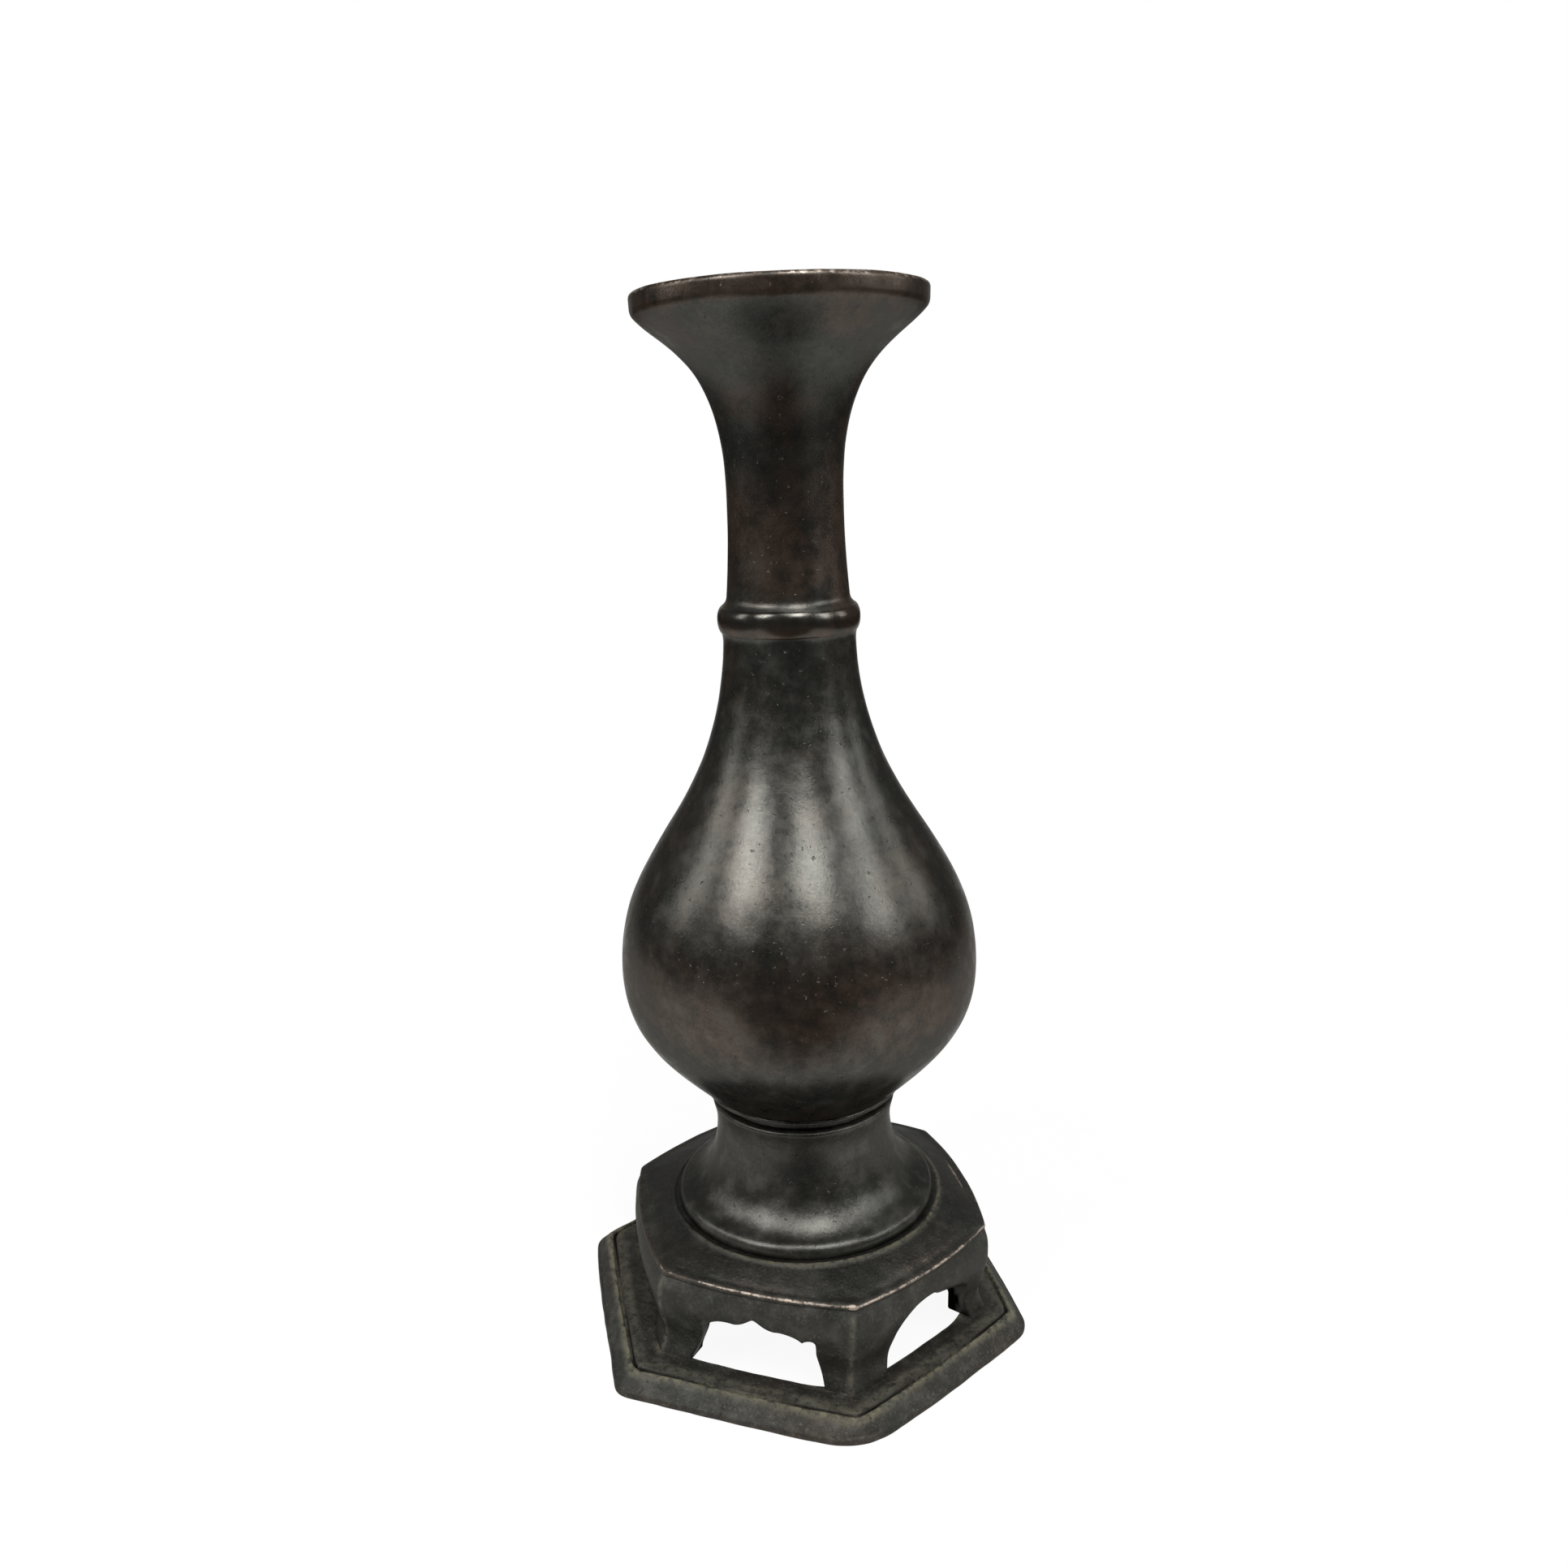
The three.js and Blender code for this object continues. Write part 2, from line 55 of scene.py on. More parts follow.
# %% Heights and radii
LEDGE_Z = 5.1
LEG_HEIGHT = 20.6
EDGE_Z = LEDGE_Z + LEG_HEIGHT
EDGE_HEIGHT = 1.5
TOP_EDGE_Z = EDGE_Z + EDGE_HEIGHT
SEAT_Z = TOP_EDGE_Z + 2.6
WAIST_Z = SEAT_Z + 29.4
BELLY_Z = WAIST_Z + 32.2
RING_Z = WAIST_Z + 109.0
NECK_Z = RING_Z + 7.6
JOINT_Z = (RING_Z + NECK_Z) / 2
TOP_Z = NECK_Z + 64.2
LIP_HEIGHT = 4.4
CREASE_Z = TOP_Z - LIP_HEIGHT

LIP_RADIUS = 31.2
NECK_RADIUS = 12.7
NECK_FOOT_RADIUS = 13.7
RING_RADIUS = 15.9
SHOULDER_RADIUS = 14.8
BELLY_RADIUS = 41.8
BODY_FOOT_RADIUS = 23.7
FOOT_TOP_RADIUS = 22.4
WAIST_RADIUS = 21.2
FOOT_FLARE_RADIUS = 29.9
FOOT_EDGE_RADIUS = 31.5
BORE = 8.8
WALL = 3.0
FIT = 0.3
print("height to the lip", TOP_Z, "mm")

# %% [markdown]
# ## Where the pieces stand
# The table sits a hair off the frame's middle, turned a little and out of level, and the vase leans
# about its seat, as many old ones do. Pieces are modelled upright on the Z axis, which is simpler, and
# one matrix then puts each in its place.

# %% Places
LEAN_SIDE = math.radians(200.7)
VASE_LEAN = math.radians(2.1)
TABLE_LEAN = math.radians(1.1)
LEAN_AXIS = Vector((-math.sin(LEAN_SIDE), math.cos(LEAN_SIDE), 0))
TABLE_SHIFT = Vector((0.7, 0.2, 0))
TABLE_TURN = math.radians(-0.6)
STANDING = Matrix.Translation(TABLE_SHIFT * MM) @ Matrix.Rotation(TABLE_TURN, 4, "Z")


def leaning(angle):
    """A turn by that angle about the middle of the vase's seat."""
    seat = Matrix.Translation((0, 0, SEAT_Z * MM))
    return seat @ Matrix.Rotation(angle, 4, LEAN_AXIS) @ seat.inverted()


VASE_PLACE = STANDING @ leaning(VASE_LEAN)
print("the lip's middle is", [round(x / MM, 2) for x in VASE_PLACE @ Vector((0, 0, TOP_Z * MM))])

# %% [markdown]
# ## Turned pieces
# A vase like this was turned in wax, so every round piece starts as an outline beside the axis. Between
# measured places it runs in cubic Bezier arcs, whose two middle points say how an arc leaves one place
# and reaches the next. A cylinder could be scaled ring by ring, but Spin does what a lathe does: a
# plane is merged to one point, the point is extruded along the outline, and Spin carries it round.

# %% A lathe
TURN_STEPS = 192


def bend(start, leave, arrive, end, steps, at=(0, 0)):
    """Points on a curve that leaves start towards leave and comes to end from arrive, all from at."""
    ends = np.array([start, leave, arrive, end], float) + at
    t = np.linspace(0, 1, steps + 1)[:, None]
    weights = np.hstack([(1 - t) ** 3, 3 * t * (1 - t) ** 2, 3 * t * t * (1 - t), t ** 3])
    return [tuple(point) for point in weights @ ends]


def drop_repeats(outline):
    """The outline without points that lie on the one before."""
    kept = [outline[0]]
    for point in outline[1:]:
        if math.dist(point, kept[-1]) > 0.01:
            kept.append(point)
    return kept


def close_up(gap):
    """Merges the points that meet, turns the faces outwards and leaves Edit mode."""
    bpy.ops.mesh.select_all(action="SELECT")
    bpy.ops.mesh.remove_doubles(threshold=gap * MM)
    bpy.ops.mesh.normals_make_consistent(inside=False)
    bpy.ops.object.mode_set(mode="OBJECT")


def turn_piece(name, outline):
    """Draws a closed outline of (radius, height) points and spins it round the Z axis."""
    outline = drop_repeats(outline + outline[:1])
    bpy.ops.mesh.primitive_plane_add(size=MM)
    piece = bpy.context.object
    piece.name = piece.data.name = name
    bpy.ops.object.mode_set(mode="EDIT")
    bpy.ops.mesh.select_all(action="SELECT")
    bpy.ops.mesh.merge(type="CENTER")
    bpy.ops.transform.translate(value=(outline[0][0] * MM, 0, outline[0][1] * MM))
    for (r0, z0), (r1, z1) in zip(outline, outline[1:]):
        move = ((r1 - r0) * MM, 0, (z1 - z0) * MM)
        bpy.ops.mesh.extrude_region_move(TRANSFORM_OT_translate={"value": move})
    bpy.ops.mesh.select_all(action="SELECT")
    bpy.ops.mesh.spin(steps=TURN_STEPS, angle=math.tau, center=(0, 0, 0), axis=(0, 0, 1))
    close_up(0.002)
    print(name, "has", len(piece.data.vertices), "points")
    return piece


# %% [markdown]
# ### Mouth and neck
# One open tube. The lip is thick with rounded edges and a crease under it, and the flare sweeps down
# into the slim neck in one curve. The outline goes on over the lip and down the bore, so that the
# wall's thickness is real, where a Solidify modifier would make it even.

# %% Mouth and neck
FLARE_Z = NECK_Z + (TOP_Z - NECK_Z) * 0.345
FLARE = CREASE_Z - FLARE_Z
STUB_RADIUS = SHOULDER_RADIUS - 1.8    # the ends that the neck ring hides
BEAD_HALF = 3.05
BRIM = 0.45                            # how far the lip rises inwards


def mouth_outline():
    on_bead = JOINT_Z + BEAD_HALF * 0.88
    stub = [(STUB_RADIUS, JOINT_Z + FIT), (STUB_RADIUS, on_bead), (SHOULDER_RADIUS + 0.3, on_bead)]
    fillet = bend((SHOULDER_RADIUS + 0.3, on_bead + 0.03), (SHOULDER_RADIUS - 0.3, on_bead + 0.75),
                  (NECK_FOOT_RADIUS, NECK_Z), (NECK_FOOT_RADIUS - 0.05, NECK_Z + 1.6), 12)
    neck = bend((NECK_FOOT_RADIUS - 0.05, NECK_Z + 1.6), (NECK_FOOT_RADIUS - 0.5, NECK_Z + 6),
                (NECK_RADIUS, FLARE_Z - 10), (NECK_RADIUS, FLARE_Z), 16)
    flare = bend((NECK_RADIUS, FLARE_Z), (NECK_RADIUS, FLARE_Z + FLARE * 0.75),
                 (LIP_RADIUS - 7.6, CREASE_Z - 7.2), (LIP_RADIUS - 0.75, CREASE_Z - 0.3), 48)
    lip = bend((-0.6, -0.12), (-0.1, 0.35), (0.15, 0.9), (0.2, 1.7), 9, at=(LIP_RADIUS, CREASE_Z))
    lip += bend((0.24, -0.9), (0.26, 0), (-0.1, BRIM), (-1.5, BRIM), 10, at=(LIP_RADIUS, TOP_Z))
    lip += bend((-1.5, BRIM), (-2.7, BRIM), (-3.9, -0.9), (-4.4, -1.8), 8, at=(LIP_RADIUS, TOP_Z))
    inside = bend((LIP_RADIUS - 4.4, TOP_Z - 1.8), (LIP_RADIUS - 11.4, CREASE_Z - 8),
                  (BORE, FLARE_Z + FLARE * 0.7), (BORE, FLARE_Z - 2), 32)
    spigot = [(BORE, JOINT_Z - 5), (BORE + 1.4, JOINT_Z - 5), (BORE + 1.4, JOINT_Z + FIT)]
    return stub + fillet + neck + flare + lip + inside + spigot


mouth = turn_piece("mouth_and_neck", mouth_outline())

# %% [markdown]
# ### Neck ring
# A half-round collar that hides the joint between neck and body. A torus would be round inside too,
# and a collar sits flat on its pipe, so it is turned as well.

# %% Neck ring
def ring_outline():
    inner = STUB_RADIUS + FIT
    edge = SHOULDER_RADIUS - 0.2
    angles = np.linspace(-math.pi / 2, math.pi / 2, 25)
    bead = [(edge + (RING_RADIUS - edge) * math.cos(a), JOINT_Z + BEAD_HALF * math.sin(a)) for a in angles]
    return [(inner, JOINT_Z - BEAD_HALF)] + bead + [(inner, JOINT_Z + BEAD_HALF)]


ring = turn_piece("collar", ring_outline())

# %% [markdown]
# ### Body
# A hollow pear-shaped shell, widest a third of the way up, with a fine bead where it stands on the
# foot. A scaled sphere wouldn't have its long shoulder, so it is turned.

# %% Body
def body_outline():
    bore = BORE + 1.7
    floor_z = WAIST_Z + 2.7
    plug = 18.7
    hollow = BELLY_RADIUS - WALL
    bead = bend((-1.3, 0), (0.1, 0), (0.25, 0.9), (-0.35, 1.35), 6, at=(BODY_FOOT_RADIUS, WAIST_Z))
    belly = bend((BODY_FOOT_RADIUS + 0.15, WAIST_Z + 1.5), (BODY_FOOT_RADIUS + 11.2, WAIST_Z + 12.9),
                 (BELLY_RADIUS, BELLY_Z - 14.1), (BELLY_RADIUS, BELLY_Z), 40)
    shoulder = bend((BELLY_RADIUS, BELLY_Z), (BELLY_RADIUS, BELLY_Z + 29.3),
                    (SHOULDER_RADIUS + 2.1, RING_Z - 41.4), (SHOULDER_RADIUS, RING_Z - 1.2), 72)
    under_bead = JOINT_Z - BEAD_HALF * 0.9
    fillet = bend((SHOULDER_RADIUS, RING_Z - 1.1), (SHOULDER_RADIUS, RING_Z - 0.2),
                  (SHOULDER_RADIUS + 0.05, under_bead - 0.4), (SHOULDER_RADIUS + 0.35, under_bead), 8)
    stub = [(STUB_RADIUS, under_bead), (STUB_RADIUS, JOINT_Z), (bore, JOINT_Z), (bore, RING_Z - 2)]
    inner = bend((SHOULDER_RADIUS - WALL, RING_Z - 6), (SHOULDER_RADIUS - WALL + 2, RING_Z - 40),
                 (hollow, BELLY_Z + 26), (hollow, BELLY_Z), 28)
    bottom = bend((hollow, BELLY_Z), (hollow, BELLY_Z - 13), (BODY_FOOT_RADIUS + 8, WAIST_Z + 15),
                  (BODY_FOOT_RADIUS - 2, floor_z + WALL), 16)
    seat = [(plug - 2.4, floor_z + WALL), (plug - 2.4, floor_z), (plug, floor_z), (plug, WAIST_Z)]
    return bead + belly + shoulder + fillet + stub + inner + bottom + seat


body = turn_piece("pear_body", body_outline())

# %% [markdown]
# ### Foot
# A hollow trumpet with a slim waist and a tall rounded bead below. A small lip at its top leaves a dark
# groove under the body, which makes the two read as separate castings.

# %% Foot
def foot_outline():
    low = SEAT_Z - 0.1
    slim_z = SEAT_Z + (WAIST_Z - SEAT_Z) * 0.7
    bore = 16.0
    rivet = 22.6
    bead = bend((-0.7, 0), (0.3, 0.4), (0.1, 3.0), (-1.6, 3.6), 12, at=(FOOT_EDGE_RADIUS, low))
    flare = bend((FOOT_EDGE_RADIUS - 1.9, low + 3.72), (FOOT_FLARE_RADIUS - 6.6, low + 6.0),
                 (WAIST_RADIUS, slim_z - 6), (WAIST_RADIUS, slim_z), 36)
    rise = bend((WAIST_RADIUS, slim_z), (WAIST_RADIUS, slim_z + 2.6),
                (FOOT_TOP_RADIUS - 0.6, WAIST_Z - 4.6), (FOOT_TOP_RADIUS - 0.35, WAIST_Z - 3.5), 12)
    lip = bend((-0.35, -3.5), (-0.25, -2.9), (-0.5, -2.5), (-1.9, -2.2), 6, at=(FOOT_TOP_RADIUS, WAIST_Z))
    inside = bend((bore, slim_z + 2), (bore, slim_z - 8), (rivet - 3.4, SEAT_Z + 8), (rivet - 3.2, low), 16)
    return bead + flare + rise + lip + [(FOOT_TOP_RADIUS - 1.9, WAIST_Z), (bore, WAIST_Z)] + inside


foot = turn_piece("trumpet_foot", foot_outline())

# %% [markdown]
# ## The stand's table
# The table, its aprons and its six legs are one casting. Windows could be cut by a boolean, but on a
# swelling apron its edges can't be rounded cleanly. So each side is a sheet of quads wrapped round its
# window: one edge of the sheet follows the window's outline, the other runs up one corner, along the
# top and down the next. The sheet goes on through the wall and back up the inside.

# %% Hexagons
TABLE_APOTHEM = 39.1
TABLE_BOW = 2.4
TABLE_WALL = 3.3
APRON_TOP = LEG_HEIGHT
TABLE_TURNS = (0, 0, 0, 0, 0, math.radians(1.3))
EDGE_CUTS = (0.9,) * 6      # how far from each corner its rounding starts


def side_point(side, u, apothem, bow, cuts, turns=(0,) * 6):
    """A point on one side of a hexagon, u from 0 at its first corner to 1 at the next. The side bows
    out by bow in its middle, and the corners are rounded by cuts and turned by turns."""
    radius = apothem / math.cos(math.pi / 6)

    def on_side(k, t):
        ends = []
        for corner in (k, k + 1):
            angle = corner * math.pi / 3 + turns[corner % 6]
            ends.append(np.array([radius * math.cos(angle), radius * math.sin(angle)]))
        out = ends[0] + ends[1]
        out = out / np.hypot(*out)
        return ends[0] * (1 - t) + ends[1] * t + out * bow * 4 * t * (1 - t)

    def corner_curve(k, share):
        cut = cuts[k % 6] / radius
        before, tip, after = on_side(k - 1, 1 - cut), on_side(k, 0), on_side(k, cut)
        return before * (1 - share) ** 2 + tip * 2 * share * (1 - share) + after * share ** 2

    first, last = cuts[side % 6] / radius, cuts[(side + 1) % 6] / radius
    if u < first:
        return corner_curve(side, 0.5 + 0.5 * u / first)
    if u > 1 - last:
        return corner_curve(side + 1, 0.5 * (u - 1 + last) / last)
    return on_side(side, u)


print("the table's corners are", round(TABLE_APOTHEM / math.cos(math.pi / 6), 1), "mm out")

# %% [markdown]
# ### The apron's two faces
# An apron swells out below the table's edge, draws in at the legs' ankles and turns out again at their
# feet. The outer face follows these measures smoothly. The inner face is plain and far rounder at the
# corners, where the legs are thick. Both lean with the table at their top only.

# %% The apron's faces
FACE_HEIGHTS = (0, 4.6, 9.6, 14.6, 18.8, 20.6)
FACE_OUT = (0.6, -0.7, 0.235, 1.0, 0.5, -0.3)
FACE_BOW = (0.5, 0.6, 0.75, 0.9, 0.95, 1.0)
INNER_APOTHEM = TABLE_APOTHEM - 0.3 - TABLE_WALL
INNER_TOP = 17.0
INNER_CUTS = (16, 16, 16, 18, 16, 16)


def ramp(x, low, high):
    """0 below low, 1 above high, and smooth between."""
    t = np.clip((x - low) / (high - low), 0, 1)
    return t * t * (3 - 2 * t)


def through(heights, values, height):
    """A smooth value at a height, through values measured at several heights."""
    h, v = np.array(heights, float), np.array(values, float)
    slopes = np.gradient(v, h)
    i = int(np.clip(np.searchsorted(h, height) - 1, 0, len(h) - 2))
    step = h[i + 1] - h[i]
    t = min(max((height - h[i]) / step, 0), 1)
    return ((2 * t ** 3 - 3 * t ** 2 + 1) * v[i] + (t ** 3 - 2 * t ** 2 + t) * step * slopes[i]
            + (3 * t ** 2 - 2 * t ** 3) * v[i + 1] + (t ** 3 - t ** 2) * step * slopes[i + 1])


def tilted(point, share):
    """Turns a point, given in millimetres, by a share of the table's lean."""
    moved = leaning(TABLE_LEAN * share) @ Vector([x * MM for x in point])
    return np.array(moved) / MM


def outer_face(side, u, height):
    out = through(FACE_HEIGHTS, FACE_OUT, height)
    bow = TABLE_BOW * through(FACE_HEIGHTS, FACE_BOW, height)
    x, y = side_point(side, u, TABLE_APOTHEM + out, bow, EDGE_CUTS, TABLE_TURNS)
    return tilted((x, y, LEDGE_Z + height), ramp(height, 15.0, APRON_TOP))


def inner_face(side, u, height):
    bow = TABLE_BOW * (0.54 + 0.36 * height / INNER_TOP)
    x, y = side_point(side, u, INNER_APOTHEM, bow, INNER_CUTS, TABLE_TURNS)
    return tilted((x, y, LEDGE_Z + height), ramp(height, INNER_TOP - 4, INNER_TOP))


print("apron swells to", round(TABLE_APOTHEM + through(FACE_HEIGHTS, FACE_OUT, 14.6), 2), "mm")

# %% [markdown]
# ### Windows
# Five windows have a pointed arch between two shoulders and two lobes. The sixth, at the front right,
# is a plain arch that leans a little. They were cut by hand, so each half has its own width. A few
# Bezier arcs draw the lobes and leave their cusps sharp.

# %% Window outlines
LEFT_SIDE, FRONT_SIDE, ARCHED_SIDE = 3, 4, 5
WINDOW_FOOT, WINDOW_TOP = 15.9, 14.7
ARCH_FAR, ARCH_NEAR = 16.8, 13.0
PEAK = 15.4
ARCH_TOP, ARCH_TOP_X = 16.2, -1.8


def lobed_half(foot=WINDOW_FOOT, top=WINDOW_TOP):
    """One side of a lobed window, from its foot over the lobe and the shoulder to the point."""
    return drop_repeats(
        bend((foot, 0), (foot, 2), (top + 0.3, 6), (top + 0.1, 8.4), 10)
        + bend((top + 0.1, 8.4), (top, 10.6), (top, 11.6), (top - 0.6, 11.95), 7)
        + bend((top - 0.6, 11.95), (top - 1.1, 12.4), (11.2, 12.2), (10.6, 11.3), 7)
        + bend((10.6, 11.3), (9.6, 12.8), (6.4, 13.5), (4.4, 13.1), 9)
        + bend((4.4, 13.1), (2.0, 13.5), (1.2, 15.0), (0, PEAK), 9))


def arched_half(foot, peak_x):
    """One side of the plain arch, up to its highest point at peak_x."""
    return drop_repeats(
        bend((foot, 0), (foot - 0.6, 3), (foot - 1.2, 6), (foot - 1.7, 8.6), 10)
        + bend((foot - 1.7, 8.6), (foot - 2.9, 13.4), (peak_x + 5.4, ARCH_TOP), (peak_x, ARCH_TOP), 26))


def spread(outline, count):
    """The same outline with count steps of equal length."""
    points = np.array(outline, float)
    along = np.concatenate([[0], np.cumsum(np.hypot(*np.diff(points, axis=0).T))])
    at = np.linspace(0, along[-1], count + 1)
    return np.column_stack([np.interp(at, along, points[:, 0]), np.interp(at, along, points[:, 1])])


def window_outline(side):
    """From the window's foot at the side's first corner, over the top, to its other foot."""
    left, right = lobed_half(), lobed_half()
    if side == FRONT_SIDE:
        left, right = lobed_half(15.2, 12.4), lobed_half(15.7, 13.7)
    if side == LEFT_SIDE:
        left, right = lobed_half(12.8, 12.3), lobed_half(14.9, 14.1)
    if side == ARCHED_SIDE:
        left, right = arched_half(ARCH_NEAR, -ARCH_TOP_X), arched_half(ARCH_FAR, ARCH_TOP_X)
    left = [(-x, z) for x, z in left]
    return spread(left + right[::-1][1:], 800)


print("a lobed window is", 2 * WINDOW_FOOT, "x", PEAK, "mm")

# %% [markdown]
# ### One sheet for each side
# The sheet is a grid primitive. Its columns go round the window, and its rows go from the corners and
# the top to the window's edge, through the wall, and back on the inside, closer where it turns.

# %% Side sheets
UP_STEPS, ACROSS_STEPS = 26, 88
ROUND_STEPS, REVEAL_STEPS = 5, 3
EDGE_ROUNDING = 0.55
STRAIGHT_HEIGHT = 9.0       # up to here a window's sides are nearly straight
ARCH_DROP = 0.36            # how much lower the plain arch is inside
SHEET_SHARES = (0, 0.12, 0.25, 0.38, 0.5, 0.61, 0.71, 0.8, 0.88, 0.94)


def border(top):
    """The sheet's outer edge: up the first corner, along the top, down the other corner."""
    up = [(0.0, top * i / UP_STEPS) for i in range(UP_STEPS)]
    across = [(i / ACROSS_STEPS, top) for i in range(ACROSS_STEPS)]
    down = [(1.0, top * (UP_STEPS - i) / UP_STEPS) for i in range(UP_STEPS + 1)]
    return up + across + down


def matched_outline(side):
    """Window points, as many as the border has, with the straight sides against the corners."""
    fine = window_outline(side)
    heights = fine[:, 1]
    straight = int(np.argmax(heights > STRAIGHT_HEIGHT))
    straight_end = len(heights) - 1 - int(np.argmax(heights[::-1] > STRAIGHT_HEIGHT))
    return np.vstack([spread(fine[:straight + 1], UP_STEPS)[:-1],
                      spread(fine[straight:straight_end + 1], ACROSS_STEPS)[:-1],
                      spread(fine[straight_end:], UP_STEPS)])


def unit(vector):
    return vector / np.linalg.norm(vector)


def rounded_edge(edge, face, wall):
    """A quarter round at a window's edge, from the face into the wall."""
    angles = [math.pi / 2 * i / ROUND_STEPS for i in range(ROUND_STEPS + 1)]
    return [edge + EDGE_ROUNDING * (face * (1 - math.sin(a)) + wall * (1 - math.cos(a))) for a in angles]


def sheet_column(side, border_out, border_in, hole):
    """One column of the sheet: down the outer face, round the window's edge, up the inner face."""
    x, height = hole
    u_out, u_in = (0.5 + x * math.cos(math.pi / 6) / apothem for apothem in (TABLE_APOTHEM, INNER_APOTHEM))

    def outer(share):
        return outer_face(side, border_out[0] + (u_out - border_out[0]) * share,
                          border_out[1] + (height - border_out[1]) * share)

    height_in = height
    if side == ARCHED_SIDE:
        height_in *= 1 - ARCH_DROP * ramp(x, -2, 9.5) * ramp(height, 4, 9)

    def inner(share):
        return inner_face(side, border_in[0] + (u_in - border_in[0]) * share,
                          border_in[1] + (height_in - border_in[1]) * share)

    edge_out, edge_in = outer(1), inner(1)
    wall = unit(edge_in - edge_out)
    rounded_out = rounded_edge(edge_out, unit(outer(0.97) - edge_out), wall)
    rounded_in = rounded_edge(edge_in, unit(inner(0.97) - edge_in), -wall)
    start, end = edge_out + wall * EDGE_ROUNDING, edge_in - wall * EDGE_ROUNDING
    reveal = [start + (end - start) * i / REVEAL_STEPS for i in range(1, REVEAL_STEPS)]
    return ([outer(share) for share in SHEET_SHARES] + rounded_out + reveal + rounded_in[::-1]
            + [inner(share) for share in SHEET_SHARES[::-1]])


def add_sheet(name, columns):
    """Adds a grid primitive and lays its points on the given columns."""
    bpy.ops.mesh.primitive_grid_add(x_subdivisions=len(columns) - 1, y_subdivisions=len(columns[0]) - 1)
    sheet = bpy.context.object
    sheet.name = sheet.data.name = name
    rows = np.array(columns, np.float32).transpose(1, 0, 2) * MM
    sheet.data.vertices.foreach_set("co", rows.ravel())
    sheet.data.update()
    return sheet


sheets = []
for side in range(6):
    places = zip(border(APRON_TOP), border(INNER_TOP), matched_outline(side))
    columns = [sheet_column(side, *place) for place in places]
    sheets.append(add_sheet(f"side_{side}", columns))
print(len(sheets), "sides of", len(columns), "x", len(columns[0]), "points")

# %% [markdown]
# ### The table's top
# One more sheet goes from the aprons' top over the worn edge, up the dome to the fine raised line
# round the foot, through the middle hole and back under the plate. On the way its columns draw the
# hexagon into a circle, which an extrusion can't do.

# %% The top
RING_LINE_RADIUS = 32.85
HOLE_RADIUS = 17.0
PLATE_Z = SEAT_Z - TABLE_WALL
FLAT_RADIUS = 26.4
RIM_WIDTH = 1.6
LINE_SECTION = ((0.65, 0.1), (0.5, 0.28), (0.3, 0.44), (0.05, 0.5), (-0.2, 0.44), (-0.42, 0.26),
                (-0.6, 0.2), (-0.85, 0.16))     # beside the line's radius and above the seat


def drawn_to(point, radius, share):
    """Moves a point of a hexagon a share of the way to a circle."""
    length = np.hypot(*point)
    return point * (length + (radius - length) * share) / length


def top_column(side, u):
    """From the apron's top border over the top, to the inner face's top border."""
    rim = [(TABLE_APOTHEM - 0.3, APRON_TOP), (TABLE_APOTHEM - 0.2, APRON_TOP + 0.15)]
    rim += bend((-0.1, 0.25), (0.25, 1.15), (-0.3, 1.55), (-RIM_WIDTH, 1.6), 10,
                at=(TABLE_APOTHEM, APRON_TOP))
    column = []

    def lay(point, z, lean):
        column.append(tilted((*point, z), lean))

    for apothem, height in rim:
        lay(side_point(side, u, apothem, TABLE_BOW, EDGE_CUTS, TABLE_TURNS), LEDGE_Z + height, 1)
    edge = side_point(side, u, TABLE_APOTHEM - RIM_WIDTH, TABLE_BOW, EDGE_CUTS, TABLE_TURNS)
    lean_more = VASE_LEAN / TABLE_LEAN
    for share in (0.06, 0.14, 0.24, 0.36, 0.5, 0.64, 0.78, 0.9, 1):
        dome = TOP_EDGE_Z + (SEAT_Z - TOP_EDGE_Z) * (1.25 * share - 0.25 * share * share)
        lay(drawn_to(edge, RING_LINE_RADIUS + 0.75, share), dome, 1 + (lean_more - 1) * share)
    for radius, rise in LINE_SECTION:
        lay(drawn_to(edge, RING_LINE_RADIUS + radius, 1), SEAT_Z + rise, lean_more)
    for radius, z in ((31, SEAT_Z), (26, SEAT_Z), (21, SEAT_Z), (HOLE_RADIUS + 0.4, SEAT_Z),
                      (HOLE_RADIUS, SEAT_Z - 0.4), (HOLE_RADIUS, PLATE_Z + 0.4), (HOLE_RADIUS + 0.4, PLATE_Z),
                      (21, PLATE_Z), (FLAT_RADIUS, PLATE_Z)):
        lay(drawn_to(edge, radius, 1), z, lean_more)
    inner = side_point(side, u, INNER_APOTHEM, TABLE_BOW * 0.9, INNER_CUTS, TABLE_TURNS)
    inside_z = LEDGE_Z + INNER_TOP
    for share in (0.25, 0.5, 0.7, 0.85, 0.95):
        z = PLATE_Z + (inside_z - PLATE_Z) * (1 - math.sqrt(1 - share ** 2))
        lay(drawn_to(inner, FLAT_RADIUS, 1 - share), z, lean_more + (1 - lean_more) * share)
    lay(inner, inside_z, 1)
    return column


top_columns = [top_column(side, i / ACROSS_STEPS) for side in range(6) for i in range(ACROSS_STEPS)]
top_sheet = add_sheet("top", top_columns + top_columns[:1])
print("top sheet", len(top_columns), "x", len(top_columns[0]), "points")

# %% [markdown]
# ### One casting
# The seven sheets are joined, their borders merged, and Fill Holes closes the soles of the legs. Where
# a window's edge folds onto itself a few edges don't get two faces, and the last line counts them.

